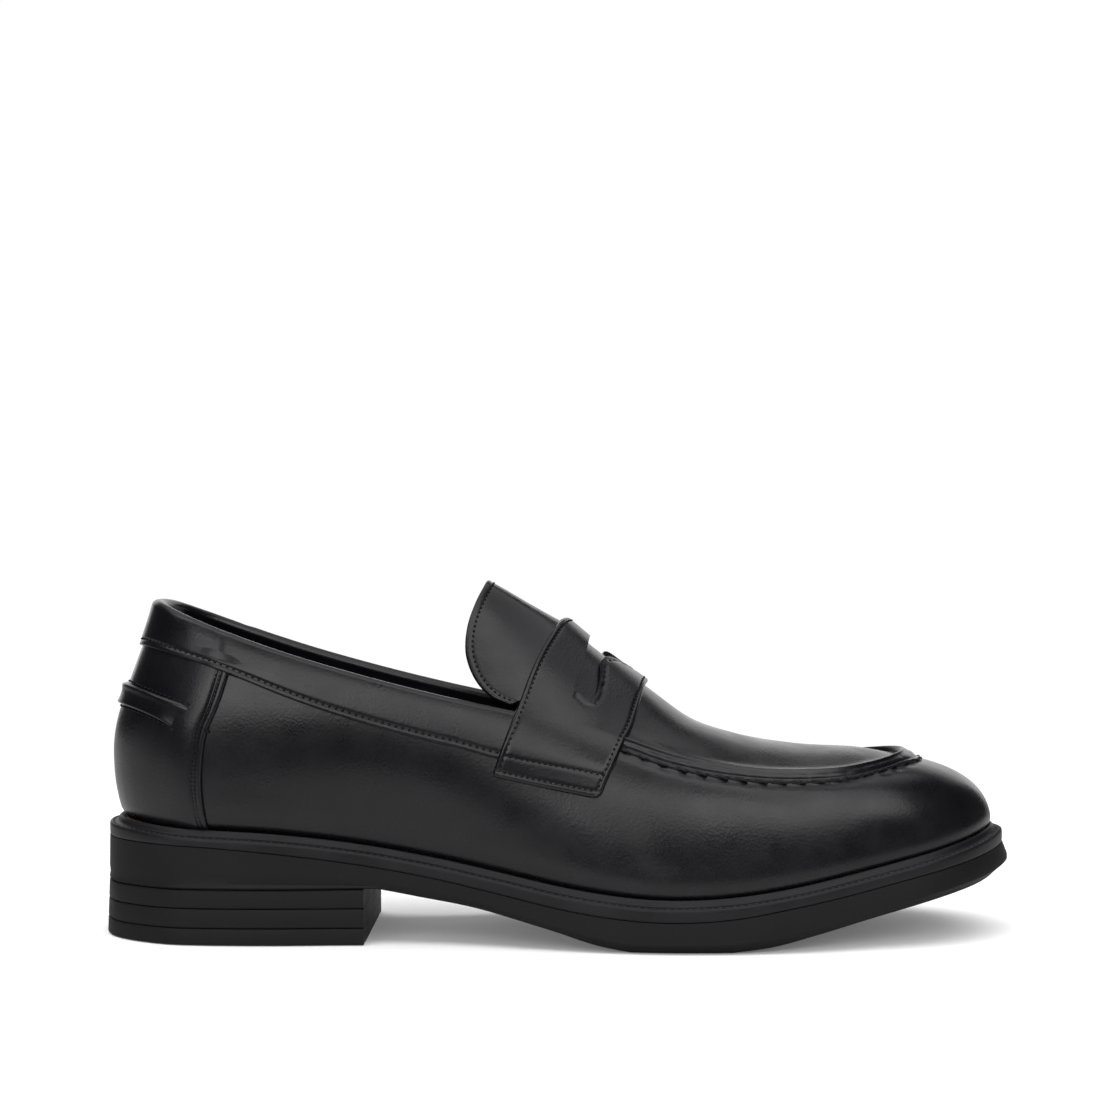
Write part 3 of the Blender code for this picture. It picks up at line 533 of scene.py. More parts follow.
def rubber(name, dark, light, roughness, grain):
    """Moulded or sanded rubber: dull, with fine pitting."""
    material, tree, shader = new_material(name, light, roughness[0], Specular_IOR_Level=0.28)
    cloud = noise(tree, 60, 4.0)
    fine = noise(tree, 1600, 3.0, 0.7)
    tree.links.new(two_colours(tree, cloud.outputs["Fac"], dark, light),
                   shader.inputs["Base Color"])
    tree.links.new(spread(tree, cloud.outputs["Fac"], *roughness), shader.inputs["Roughness"])
    bumps(tree, shader, [(fine.outputs["Fac"], grain, 0.06)])
    return material


def thread(name, colour, light):
    """Waxed twisted thread."""
    material, tree, shader = new_material(name, colour, 0.6, Specular_IOR_Level=0.2)
    twist = noise(tree, 2600, 2.0, 0.5)
    tree.links.new(two_colours(tree, twist.outputs["Fac"], colour, light),
                   shader.inputs["Base Color"])
    bumps(tree, shader, [(twist.outputs["Fac"], 0.5, 0.08)])
    return material


def fibrous(name, dark, light, scale, roughness, grain):
    """Board, cork or foam: mottled and rough."""
    material, tree, shader = new_material(name, light, roughness)
    mottle = noise(tree, scale, 5.0, 0.7)
    fleck = cells(tree, scale * 1.4)
    tree.links.new(two_colours(tree, mottle.outputs["Fac"], dark, light),
                   shader.inputs["Base Color"])
    bumps(tree, shader, [(mottle.outputs["Fac"], grain, 0.2),
                         (fleck.outputs["Distance"], grain, 0.1)])
    return material


def steel(name):
    """Rolled spring steel with a slight uneven tarnish."""
    material, tree, shader = new_material(name, (0.5, 0.5, 0.52), 0.35, Metallic=1.0)
    cloud = noise(tree, 120, 4.0)
    tree.links.new(two_colours(tree, cloud.outputs["Fac"], (0.38, 0.38, 0.40), (0.56, 0.57, 0.59)),
                   shader.inputs["Base Color"])
    tree.links.new(spread(tree, cloud.outputs["Fac"], 0.28, 0.45), shader.inputs["Roughness"])
    bumps(tree, shader, [(noise(tree, 1500, 2.0).outputs["Fac"], 0.15, 0.03)])
    return material


CALF_BLACK = (0.0012, 0.0012, 0.0022)
CALF = leather("black_calf", CALF_BLACK, (0.0030, 0.0029, 0.0046), (0.24, 0.35), 0.14, 0.32)
EDGE_CALF = leather("calf_edge", CALF_BLACK, (0.0034, 0.0033, 0.005), (0.24, 0.36), 0.2, 0.2)
LINING = leather("lining_hide", (0.008, 0.0075, 0.0075), (0.013, 0.012, 0.012), (0.50, 0.62), 0.0,
                 0.35)
SOCK = leather("sock_hide", (0.010, 0.0095, 0.0095), (0.016, 0.015, 0.015), (0.46, 0.58), 0.0, 0.35)
WELT = rubber("welt_strip", (0.004, 0.004, 0.005), (0.0075, 0.0075, 0.009), (0.38, 0.50), 0.2)
SOLE = rubber("sole_rubber", (0.0022, 0.0022, 0.0028), (0.0042, 0.0042, 0.005), (0.55, 0.68), 0.45)
THREAD = thread("black_thread", (0.002, 0.002, 0.002), (0.006, 0.006, 0.0065))
HAND_THREAD = thread("apron_cord", (0.004, 0.004, 0.004), (0.016, 0.016, 0.017))
WELT_THREAD = thread("welt_yarn", (0.03, 0.03, 0.032), (0.07, 0.07, 0.074))
BOARD = fibrous("fibre_board", (0.27, 0.17, 0.09), (0.38, 0.25, 0.14), 260, 0.9, 0.4)
CORK = fibrous("cork_filler", (0.25, 0.14, 0.07), (0.46, 0.30, 0.17), 420, 0.92, 0.6)
FOAM = fibrous("latex_foam", (0.48, 0.47, 0.43), (0.60, 0.59, 0.55), 700, 0.95, 0.5)
STEEL = steel("spring_steel")


# ---------------------------------------------------------------- the upper

def collar_edge(t):
    """Height of the seam under the collar, and past the saddle of the vamp's top edge."""
    return along(COLLAR_EDGE, t)


def seam_phase():
    """Distance along the apron seam from the toe, as a function of p."""
    p = np.linspace(7.5, ROUND - 7.5, 800)
    travelled = distance_along(skin(p, np.ones_like(p)))
    middle = np.interp(LAST, p, travelled)
    return lambda q: np.interp(q, p, travelled) - middle


SEAM_DISTANCE = seam_phase()


def tuck(r):
    """Fullness of the leather just above the welt, and its tuck into the welt."""
    return 0.3 * bump_at(r, 0.13, 0.10) - 1.2 * bump_at(r, 0.0, 0.028)


def make_vamp():
    """Vamp in one piece, from back seam to back seam round the toe."""
    p = np.arange(2.70, ROUND - 2.70 + 0.01, 0.06)
    t, _ = around(p)
    under_collar = climb(p, collar_edge(t), 3.2)
    top = np.where(t < 7.1, under_collar, np.minimum(climb(p, collar_edge(t), 1.0), 0.985))
    v = np.concatenate([[0.0, 0.006, 0.014, 0.026, 0.045], np.linspace(0.07, 1, 42)])
    r = FOOT_OF_WALL + (top[:, None] - FOOT_OF_WALL) * v
    pp = np.broadcast_to(p[:, None], r.shape)
    plain = skin(pp, r)
    tt, _ = around(pp)
    out = 0.16 * ripple(plain, 13.0, 0.4) * smoothstep(0.1, 0.3, r)
    ball = bump_at(tt, 10.6, 1.3) * bump_at(r, 0.72, 0.25)
    out = out + 0.16 * ball * ripple(plain, 4.6, 2.7)
    out = out + tuck(r)
    below = (1.0 - r) * skin_frame(pp, r)[2]
    pucker = 0.5 + 0.5 * np.cos(2 * math.pi * SEAM_DISTANCE(pp) / HAND_PITCH)
    out = out - 0.45 * smoothstep(8.0, 8.3, tt) * bump_at(below, 4.6, 1.3) * (0.35 + 0.65 * pucker)
    out = out - 0.25 * (1 - smoothstep(2.7, 3.0, tt))
    vamp = sheet("vamp", on_skin(pp, r, out), VAMP_LEATHER, CALF)
    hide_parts("vamp_lateral", "vamp_medial", "vamp_toe")
    return vamp


BACK_SEAM = [(0, 3.02), (0.15, 2.92), (0.27, 2.86), (0.39, 2.84), (0.54, 2.865), (0.64, 2.96),
             (0.825, 3.06), (1.0, 3.10)]


def back_seam(r):
    """Station of the back seam, which curves a little, at heights r."""
    return along(BACK_SEAM, r)


# Millimetres behind the back seam of the heel cover's columns, and of its two rows of stitches.
COVER_COLUMNS = np.array([0.0, 0.1, 0.3, 0.6, 1.0, 1.4, 1.6, 1.8, 2.0, 2.2, 2.5, 2.7, 2.9, 3.1,
                          3.4, 4.0, 5.0, 6.5, 8.5, 11.0, 14.0, 18.0, 22.0, 27.0, 32.0, 37.0, 42.0,
                          47.0])
COVER_ROWS = (1.9, 3.1)


def make_heel_cover():
    """Heel cover, whose front edges lie on the vamp along the two back seams."""
    side_p = HEEL_SEAM - COVER_COLUMNS / BACK_STATION
    p = np.concatenate([side_p, -side_p[::-1]])
    p = np.unique(np.round(np.concatenate([p, np.linspace(-0.4, 0.4, 9)]), 5))
    t = np.abs(p)
    top = climb(p, collar_edge(t), 3.0)
    v = np.concatenate([[0.0, 0.008, 0.02, 0.04], np.linspace(0.07, 1, 40)])
    r = FOOT_OF_WALL + (top[:, None] - FOOT_OF_WALL) * v
    pp = p[:, None] / HEEL_SEAM * back_seam(r)
    edge = (back_seam(r) - np.abs(pp)) * BACK_STATION
    out = 1.25 * (1 - smoothstep(2.0, 17.0, edge)) + 0.06 * ripple(skin(pp, r), 12.0, 1.3)
    out = out - 0.85 * np.exp(-edge / 0.22) + tuck(r)
    for row in COVER_ROWS:
        out = out - 0.3 * bump_at(edge, row, 0.34)
    cover = sheet("heel_cover_leather", on_skin(pp, r, out), COVER_LEATHER, CALF)
    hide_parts("heel_cover")
    rows = []
    seam = np.linspace(0.035, 0.82, 160)
    knot = np.linspace(0.528, 0.546, 6)
    for side in (-1, 1):
        for offset in COVER_ROWS:
            q = -side * (back_seam(seam) - offset / BACK_STATION)
            rows.append(stitched("row", q, seam, 1.0, THREAD, pitch=1.3, length=0.95, radius=0.27))
        q = -side * (back_seam(knot) + 0.012)
        rows.append(stitched("knot", q, knot, 0.6, HAND_THREAD, pitch=9, length=1.1, radius=0.5,
                             rise=0.3))
    joint = joined("heel_seam_stitches", rows)
    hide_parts("heel_seam_thread_lateral", "heel_seam_thread_medial")
    return cover, joint


def collar_lip(t):
    """How far the collar's lower edge stands off the skin; more where it crosses a back seam."""
    return 1.15 + 1.1 * bump_at(t, 2.9, 0.28)


# Section of the collar, in millimetres: its lower lip as (above the seam, outwards), and its upper
# part as (above the top edge, outwards), which is a band, a round cap and the facing inside.
COLLAR_LOW = np.array([
    (0.25, -1.2), (0.0, -0.9), (0.0, -0.35), (0.12, -0.1), (0.4, 0.0), (0.8, 0.02), (1.2, 0.0),
    (1.55, -0.08), (1.8, -0.22), (2.0, -0.28), (2.2, -0.2), (2.5, -0.02), (2.9, 0.08),
    (3.6, 0.12), (4.6, 0.15), (6.0, 0.18),
])
COLLAR_BAND = [(-6.5, 1.35), (-4.6, 1.38), (-2.8, 1.45)]
COLLAR_FACING = [(-2.6, -3.3), (-5.0, -3.75), (-8.5, -4.05), (-12.0, -4.15), (-13.6, -4.25),
                 (-14.2, -4.0), (-14.0, -3.4)]
CAP_RADIUS = 2.2


def collar_top():
    """Heights over the top edge and distances outwards of the collar's upper part."""
    turn = np.radians(np.arange(0, 181, 12))
    cap = np.stack([-0.8 + CAP_RADIUS * np.sin(turn), -0.65 + CAP_RADIUS * np.cos(turn)], axis=-1)
    return np.concatenate([COLLAR_BAND, cap, COLLAR_FACING]).T


def make_collar():
    """Padded collar: stitched lip below, padded band, rolled top edge and inner facing."""
    p = np.arange(-7.1, 7.101, 0.05)
    t, _ = around(p)
    low_s, low_d = COLLAR_LOW.T
    low_r = climb(p[:, None], collar_edge(t)[:, None], low_s[None, :])
    ease = smoothstep(2.0, 6.0, low_s)[None, :]
    low_out = low_d[None, :] + collar_lip(t)[:, None] * (1 - ease) + 1.15 * ease
    top_s, top_d = collar_top()
    scale = skin_frame(p[:, None], np.full((1, 1), 0.985))[2]
    dent = (0.15 * bump_at(t, 3.02, 0.13) - 0.35 * bump_at(t, 2.82, 0.09))[:, None]
    low_out = low_out + dent * ease
    top_s = top_s + 0.7 * (top_s > -2.0)
    top_r = np.minimum(1.0 + np.minimum(top_s[None, :], -0.6) / scale, 1.0)
    spare = np.maximum(top_s[None, :] + 0.6, 0.0) * np.ones_like(scale)
    pp = p[:, None]
    low = on_skin(pp + 0 * low_r, low_r, low_out)
    high = on_skin(pp + 0 * top_r, top_r, top_d[None, :] + dent * (top_d > 0)[None, :], spare)
    rings = np.concatenate([low, high], axis=1)
    padding = np.concatenate([smoothstep(2.5, 6.0, low_s), np.ones(3), np.zeros(len(top_s) - 3)])
    rings = rings + (0.10 * ripple(rings, 9.0, 2.2) * padding)[..., None] * np.array([0, 0, 1.0])
    collar = loft("collar", rings, CALF)
    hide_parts("collar_band")
    q = np.arange(-6.9, 6.901, 0.02)
    tq, _ = around(q)
    r = climb(q, collar_edge(tq), 2.0)
    row = stitched("collar_stitches", q, r, collar_lip(tq) - 0.24, THREAD, pitch=2.2, length=1.05,
                   radius=0.36)
    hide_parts("collar_thread")
    return collar, row


def strap_top(t):
    """Height of the heel strap's upper edge at stations t."""
    return 0.718 - 0.0123 * t ** 2


STRAP_FOOT = [(0, 0.61), (1, 0.597), (1.5, 0.583), (2, 0.551), (2.3, 0.52), (3, 0.44)]
STRAP_HEIGHT = [(0, 1.7), (0.5, 1.7), (1, 1.35), (1.6, 0.95), (2.3, 0.7), (2.8, 0.5)]
# The strap's section: share of its width from the lower edge, and share of its height.
STRAP_SECTION = np.array([
    (0.0, -0.6), (0.0, 0.3), (0.03, 0.7), (0.08, 0.85), (0.14, 0.8), (0.22, 0.72), (0.34, 0.68),
    (0.46, 0.68), (0.58, 0.7), (0.68, 0.76), (0.76, 0.88), (0.84, 1.0), (0.91, 1.0), (0.96, 0.7),
    (1.0, 0.25), (1.0, -0.6),
])


def strap_foot(t):
    """Height of the heel strap's lower edge at stations t."""
    return along(STRAP_FOOT, t)


def make_heel_roll():
    """Strap of folded leather round the back, raised along both edges, and its stitching."""
    p = np.arange(-2.72, 2.721, 0.04)
    t = np.abs(p)[:, None]
    upper, lower = strap_top(t), strap_foot(t)
    height = along(STRAP_HEIGHT, t)
    low_fade = 1 - smoothstep(1.9, 2.35, t)
    high_fade = 1 - 0.6 * smoothstep(2.3, 2.7, t)
    share, body = STRAP_SECTION.T
    climbed = smoothstep(0.2, 0.9, share)
    fade = low_fade * (1 - climbed) + high_fade * climbed
    out = height * body * fade + 0.2 - 1.4 * smoothstep(2.45, 2.72, t)
    r = lower + (upper - lower) * share
    roll = sheet("heel_strap", on_skin(p[:, None] + 0 * r, r, out), STRAP_LEATHER, CALF)
    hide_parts("heel_roll")
    rows = []
    for line, gap, end in ((strap_top, 0.7, 2.45), (strap_foot, -0.7, 2.18)):
        q = np.arange(-end, end, 0.02)
        rr = climb(q, line(np.abs(q)), gap)
        rows.append(stitched("row", q, rr, 0.1, THREAD, pitch=1.9, length=1.2, radius=0.28))
        for side in (-1, 1):
            q = side * np.linspace(end - 0.015, end + 0.07, 8)
            rr = climb(q, line(np.abs(q)), gap)
            rows.append(stitched("tack", q, rr, 0.3, THREAD, pitch=9, length=2.2, radius=0.5,
                                 rise=0.2))
    tacks = joined("heel_strap_stitches", rows)
    return roll, tacks


def vault_grid(t, v, inset):
    """Grid over the instep from seam to seam: station, height r and millimetres to its edge."""
    span = np.linalg.norm(skin(t, np.ones_like(t)) - skin(t, np.full_like(t, 2.0)), axis=1)
    arc = APRON_ARC * span[:, None]
    start = 1 + inset / arc
    half = start + (2 - start) * v
    r = np.concatenate([half, 4 - half[:, -2::-1]], axis=1)
    return np.broadcast_to(t[:, None], r.shape), r, np.minimum(r - start, 4 - start - r) * arc


def make_apron():
    """Apron over the instep and forefoot, sunk a little below its seam."""
    t = np.concatenate([np.arange(7.0, 13.0, 0.06), np.linspace(13.0, 13.66, 12)])
    v = np.concatenate([[0, 0.01, 0.025, 0.045], np.linspace(0.07, 1, 30)])
    tt, r, to_edge = vault_grid(t, v, 0.9)
    out = -0.7 * np.exp(-to_edge / 0.5) + 0.35 * bump_at(to_edge, 3.0, 2.0)
    out = out + 0.10 * ripple(skin(tt, r), 15.0, 3.1)
    out = out + 0.8 * bump_at(r, 2.0, 0.6) * bump_at(tt, 11.8, 1.0)
    apron = sheet("apron", on_skin(tt, r, out), COVER_LEATHER, CALF)
    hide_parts("apron_rear", "apron_toe")
    return apron


# Section of the apron's seam, in millimetres: (above the seam line, outwards).
ROLL = np.array([
    (-3.0, -0.9), (-6.2, -0.7), (-6.2, -0.1), (-5.9, 0.35), (-5.4, 0.75), (-4.9, 0.85),
    (-4.5, 0.62), (-4.2, 0.6), (-3.8, 0.95), (-3.1, 1.5), (-2.3, 1.9), (-1.5, 1.95),
    (-0.9, 1.7), (-0.55, 1.35), (-0.25, 1.45), (0.05, 1.95), (0.4, 2.15), (0.75, 2.0),
    (1.0, 1.5), (1.1, 0.7), (1.1, -0.2), (0.6, -0.9),
])
ROLL_WIDENS = (12.6, 14.0)


def make_apron_roll():
    """Raised seam round the apron: a thin lip, a rolled ridge and a scalloped lower edge."""
    p = np.arange(7.7, ROUND - 7.7 + 0.01, 0.03)
    t, _ = around(p)
    s, d = ROLL.T
    phase = 2 * math.pi * SEAM_DISTANCE(p) / HAND_PITCH
    scallop = np.abs(np.sin(phase / 2)) ** 0.7
    lower = smoothstep(-4.2, -5.4, s)
    toe = smoothstep(*ROLL_WIDENS, t)[:, None]
    ss = np.where(s < 0, s * (0.56 + 0.50 * toe), s)
    ss = ss + lower * (0.4 - 0.5 * scallop[:, None])
    dd = d * (0.75 + 0.25 * (s > -1.5)) + 0.12 * lower * scallop[:, None] * (d > 0)
    dd = dd - 0.12 * bump_at(s, -2.6, 1.4) * (1 - scallop[:, None])
    dd = dd + 0.5 * toe * smoothstep(-5.5, -1.0, s)
    r = 1.0 + np.minimum(ss, 0.0) / skin_frame(p[:, None], np.full((1, 1), UNDER_SEAM))[2]
    rings = on_skin(p[:, None] + 0 * r, np.minimum(r, 0.999), dd, np.maximum(ss, 0.0))
    roll = loft("apron_seam", rings, EDGE_CALF, crease=60)
    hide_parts("apron_piping_lateral", "apron_piping_toe", "apron_piping_medial")
    q = np.arange(8.15, ROUND - 8.15, 0.01)
    tq, _ = around(q)
    share = np.mod(SEAM_DISTANCE(q) / HAND_PITCH, 1.0)
    reach = -(3.15 + 2.85 * smoothstep(*ROLL_WIDENS, tq)) - 0.5 * (share - 0.5)
    rr = 1.0 + reach / skin_frame(q, np.full_like(q, UNDER_SEAM))[2]
    cord = stitched("apron_hand_stitches", q, rr, 0.42, HAND_THREAD, pitch=HAND_PITCH, length=5.4,
                    radius=0.42, lean=0.3)
    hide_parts("apron_thread_lateral", "apron_thread_toe", "apron_thread_medial")
    return roll, cord


def station_at(x, side, r):
    """Stations where the skin at heights r reaches x, on a side."""
    low = np.where(r <= 1, CROWN_START - 1.0, float(CROWN_START)) * np.ones_like(x)
    high = np.full_like(x, 11.0)
    for _ in range(30):
        middle = (low + high) / 2
        near = skin(np.where(side < 0, middle, ROUND - middle), r)[..., 0] < x
        low = np.where(near, middle, low)
        high = np.where(near, high, middle)
    return (low + high) / 2


def saddle_place(u, c, side):
    """p and r on the saddle: u from rear to front, c from its end to the ridge."""
    end = SADDLE_END_REAR + (SADDLE_END_FRONT - SADDLE_END_REAR) * u
    r = end + (2 - end) * c
    x = (1 - u) * along(SADDLE_REAR, r) + u * along(SADDLE_FRONT, r)
    t = station_at(x, side, r)
    return np.where(side < 0, t, ROUND - t), r


def smooth_run(points, steps):
    """Smooth plan curve through points."""
    rows = np.array(points)
    t = np.linspace(0, len(rows) - 1, steps)
    return catmull_rom(rows, t, 2 * rows[0] - rows[1], 2 * rows[-1] - rows[-2])


def slot_outline():
    """Closed plan outline of the slot in the saddle, with a corner at each side's end."""
    rear = smooth_run(SLOT[SLOT_CORNER::-1], 60)
    front = smooth_run(SLOT[SLOT_CORNER:], 120)
    half = np.concatenate([rear[::-1], front[1:]])
    other = half[::-1] * np.array([1, -1])
    return np.concatenate([half, other[:-1]])


def nearest_on(outline_points, points):
    """Nearest outline point and distance for each plan point."""
    a = outline_points
    b = np.roll(outline_points, -1, axis=0)
    edge = b - a
    length = np.maximum((edge ** 2).sum(-1), 1e-12)
    offset = points[:, None, :] - a[None]
    u = np.clip((offset * edge).sum(-1) / length, 0, 1)
    foot = a + u[..., None] * edge
    away = np.linalg.norm(points[:, None, :] - foot, axis=-1)
    best = away.argmin(axis=1)
    pick = np.arange(len(points))
    return foot[pick, best], away[pick, best]


def inside(outline_points, points):
    """Whether plan points lie inside a closed outline."""
    a = outline_points
    b = np.roll(outline_points, -1, axis=0)
    x, y = points[:, 0:1], points[:, 1:2]
    crosses = (a[:, 1] > y) != (b[:, 1] > y)
    slope = (b[:, 0] - a[:, 0]) / np.where(b[:, 1] == a[:, 1], 1e-9, b[:, 1] - a[:, 1])
    at = a[:, 0] + (y - a[:, 1]) * slope
    return (crosses & (x < at)).sum(axis=1) % 2 == 1


SADDLE_WIDTH = 34.0
SADDLE_LENGTH = 62.0
SADDLE_LIFT = 2.3
ROW_INSET = 1.75
SECOND_ROW = 5.9


def saddle_relief(from_rear, from_front, from_end):
    """Height of the saddle's face over its base: rounded edges and sunk stitch rows."""
    out = np.zeros_like(from_rear)
    for edge in (from_rear, from_front, from_end):
        out = out - 0.95 * np.exp(-edge / 0.22) + 0.12 * bump_at(edge, 0.9, 0.4)
        out = out - 0.17 * bump_at(edge, ROW_INSET, 0.36)
    second = 0.17 * bump_at(from_end, SECOND_ROW, 0.36)
    return out - second * (from_rear > 1.5) * (from_front > 1.5)


def end_drop(c, r):
    """How far the saddle comes down to the vamp near its ends."""
    return (1 - smoothstep(0.0, 9.0, c * SADDLE_LENGTH)) * (r < 1)


def saddle_base():
    """Grid of the saddle before its slot: skin points, normals and heights over the skin."""
    near = np.array([0, 0.1, 0.25, 0.5, 0.8, 1.1, 1.35, 1.55, 1.75, 1.95, 2.2, 2.6, 3.1])
    u_mm = np.concatenate([near, np.arange(3.7, SADDLE_WIDTH - 3.5, 0.6),
                           SADDLE_WIDTH - near[::-1]])
    c_mm = np.concatenate([near, [3.8, 4.6, 5.2, 5.6, 5.9, 6.2, 6.6, 7.2],
                           np.arange(7.9, SADDLE_LENGTH, 0.62), [SADDLE_LENGTH]])
    u, c = np.meshgrid(u_mm / SADDLE_WIDTH, c_mm / SADDLE_LENGTH, indexing="ij")
    radius = 2.2
    gap = np.maximum(radius - c * SADDLE_LENGTH, 0)
    trim = radius - np.sqrt(np.maximum(radius ** 2 - gap ** 2, 0))
    from_front = (1 - u) * SADDLE_WIDTH
    from_rear = u * SADDLE_WIDTH
    u_trim = (u - trim * np.clip(1 - from_front / 9, 0, 1) / SADDLE_WIDTH
              + 0.5 * trim * np.clip(1 - from_rear / 9, 0, 1) / SADDLE_WIDTH)
    halves = []
    for side in (-1.0, 1.0):
        p, r = saddle_place(u_trim, c, np.full_like(u, side))
        plain = skin(p, r)
        out = SADDLE_LIFT + saddle_relief(from_rear, from_front, c * SADDLE_LENGTH)
        out = out + 0.16 * ripple(plain, 7.0, 0.9 + side) * smoothstep(2, 8, from_rear)
        halves.append((plain, skin_frame(p, r)[0], out - end_drop(c, r)))
    return [np.concatenate([near, far[:, -2::-1]], axis=1) for near, far in zip(*halves)]


def cut_slot(points, normals, faces, shape):
    """Faces left round the slot, once the points on its rim have moved onto its outline."""
    gone = inside(shape, points[faces].mean(axis=1)[:, :2])
    kept = faces[~gone]
    rim = np.intersect1d(np.unique(faces[gone]), np.unique(kept))
    target, _ = nearest_on(shape, points[rim, :2])
    shift = target - points[rim, :2]
    steep = np.maximum(normals[rim, 2], 0.3)
    points[rim, 2] -= (normals[rim, :2] * shift).sum(-1) / steep
    points[rim, :2] += shift
    return kept


def make_saddle():
    """Saddle strap with its slot, and its rows of stitching."""
    flat, normal, out = saddle_base()
    shape = slot_outline()
    away = nearest_on(shape, flat[..., :2].reshape(-1, 2))[1].reshape(out.shape)
    far = smoothstep(1.0, 8.0, flat[..., 1]) * smoothstep(10.0, 14.0, flat[..., 0])
    out = out - 0.5 * np.exp(-away / 0.15) + 1.1 * far * bump_at(away, 0.0, 5.0)
    points = (flat + normal * out[..., None]).reshape(-1, 3)
    kept = cut_slot(points, normal.reshape(-1, 3), grid_quads(*out.shape), shape)
    used = np.unique(kept)
    renumber = np.full(len(points), -1)
    renumber[used] = np.arange(len(used))
    strap = mesh_object("saddle", points[used], renumber[kept], CALF, crease=60)
    solid = strap.modifiers.new("thickness", "SOLIDIFY")
    solid.thickness = SADDLE_LEATHER * MM
    solid.offset = -1
    bake(strap, crease=50)
    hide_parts("saddle_strap")
    return [strap] + saddle_rows()


def bake(obj, crease):
    """Replace an object's mesh by the result of its modifiers."""
    shaped = obj.evaluated_get(bpy.context.evaluated_depsgraph_get())
    mesh = bpy.data.meshes.new_from_object(shaped)
    obj.modifiers.clear()
    obj.data = mesh
    smooth(mesh, crease)


def saddle_line(u, c, side):
    """Path and normals on the saddle's face."""
    p, r = saddle_place(u, c, np.full_like(u, float(side)))
    return on_skin(p, r, SADDLE_LIFT - 0.15 - end_drop(c, r)), skin_frame(p, r)[0]


def saddle_rows():
    """Stitching along the saddle's long edges and in two rows across each end."""
    rows = []
    c = np.linspace(2.4 / SADDLE_LENGTH, 1, 200)
    for name, offset in (("saddle_stitches_rear", ROW_INSET),
                         ("saddle_stitches_front", SADDLE_WIDTH - ROW_INSET)):
        u = np.full_like(c, offset / SADDLE_WIDTH)
        line, normals = (np.concatenate([near, far[-2::-1]]) for near, far
                         in zip(saddle_line(u, c, -1), saddle_line(u, c, 1)))
        rows.append(stitches(name, line, normals, THREAD, **FINE_STITCH))
    ends = []
    u = np.linspace(2.6, SADDLE_WIDTH - 2.6, 60) / SADDLE_WIDTH
    for side in (-1, 1):
        for offset in (ROW_INSET, SECOND_ROW):
            line, normals = saddle_line(u, np.full_like(u, offset / SADDLE_LENGTH), side)
            ends.append(stitches("row", line, normals, THREAD, **FINE_STITCH))
    lateral = joined("saddle_stitches_lateral", ends[:2])
    medial = joined("saddle_stitches_medial", ends[2:])
    rear, front = rows
    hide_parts("saddle_thread_rear")
    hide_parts("saddle_thread_front")
    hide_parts("saddle_thread_lateral")
    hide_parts("saddle_thread_medial")
    return [rear, front, lateral, medial]


def tongue_surface(depth, inset, rows=24):
    """Tongue flap from its free edge to the saddle line, wing to wing, and its root beyond."""
    last = len(TONGUE_EDGE) - 1
    k = np.linspace(-last, last, 141)
    side = np.where(k < 0, -1.0, 1.0)
    mirrored = np.array([1, -1, 1])
    share = np.abs(k) / last
    edge = catmull_rom(TONGUE_EDGE, np.abs(k), TONGUE_EDGE[1] * mirrored,
                       2 * TONGUE_EDGE[-1] - TONGUE_EDGE[-2])
    free = np.stack([edge[:, 0], side * edge[:, 1], edge[:, 2]], axis=-1)
    p = np.where(side < 0, SADDLE_LINE - 0.02, ROUND - SADDLE_LINE + 0.02)
    root = skin(p, 2 - share * TONGUE_SPREAD)
    length = np.linalg.norm(root - free, axis=1)
    free = free + unit(root - free) * inset
    from_edge = np.array([0, 0.1, 0.25, 0.5, 0.9, 1.3, 1.7, 2.0, 2.2, 2.4, 2.6, 2.8, 3.2, 3.8])
    v_edge = from_edge[None, :] / length[:, None]
    v_rest = v_edge[:, -1:] + (1 - v_edge[:, -1:]) * np.linspace(0, 1, rows)[None, 1:]
    v = np.concatenate([v_edge, v_rest], axis=1)
    grid = free[:, None] + (root - free)[:, None] * v[..., None]
    beyond = np.array([0.06, 0.12, 0.18])
    p = p[:, None] - side[:, None] * beyond
    root = on_skin(p, 2 - share[:, None] * TONGUE_SPREAD, 0.1)
    grid = np.concatenate([grid, root], axis=1)
    v = np.concatenate([v, np.ones((len(k), len(beyond))) * 1.01], axis=1)
    normal = unit(np.cross(np.gradient(grid, axis=1), np.gradient(grid, axis=0)))
    return grid - normal * depth, normal, v * length[:, None]


def make_tongue():
    """Tongue, its lining and its edge stitching."""
    plain, normal, travelled = tongue_surface(0.0, 0.0)
    out = -0.6 * np.exp(-travelled / 0.22) + 0.1 * bump_at(travelled, 0.9, 0.4)
    out = out - 0.17 * bump_at(travelled, 2.4, 0.36) * (travelled < 6)
    out = out + 0.22 * ripple(plain, 9.0, 4.2) * smoothstep(3, 9, travelled)
    out = out * (travelled < 60)
    flap = faced("tongue_leather", plain + normal * out[..., None], plain - normal * TONGUE_LEATHER,
                 CALF)
    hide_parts("tongue")
    face, _, _ = tongue_surface(1.35, 0.35)
    back, _, _ = tongue_surface(2.3, 0.5)
    lining = faced("tongue_facing", face, back, LINING)
    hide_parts("tongue_lining")
    near = np.abs(travelled - 2.4).argmin(axis=1)
    pick = np.arange(len(near))
    path = (plain - normal * 0.10)[pick, near][2:-2]
    row = stitches("tongue_stitches", path, normal[pick, near][2:-2], THREAD, **FINE_STITCH)
    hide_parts("tongue_thread")
    return flap, lining, row


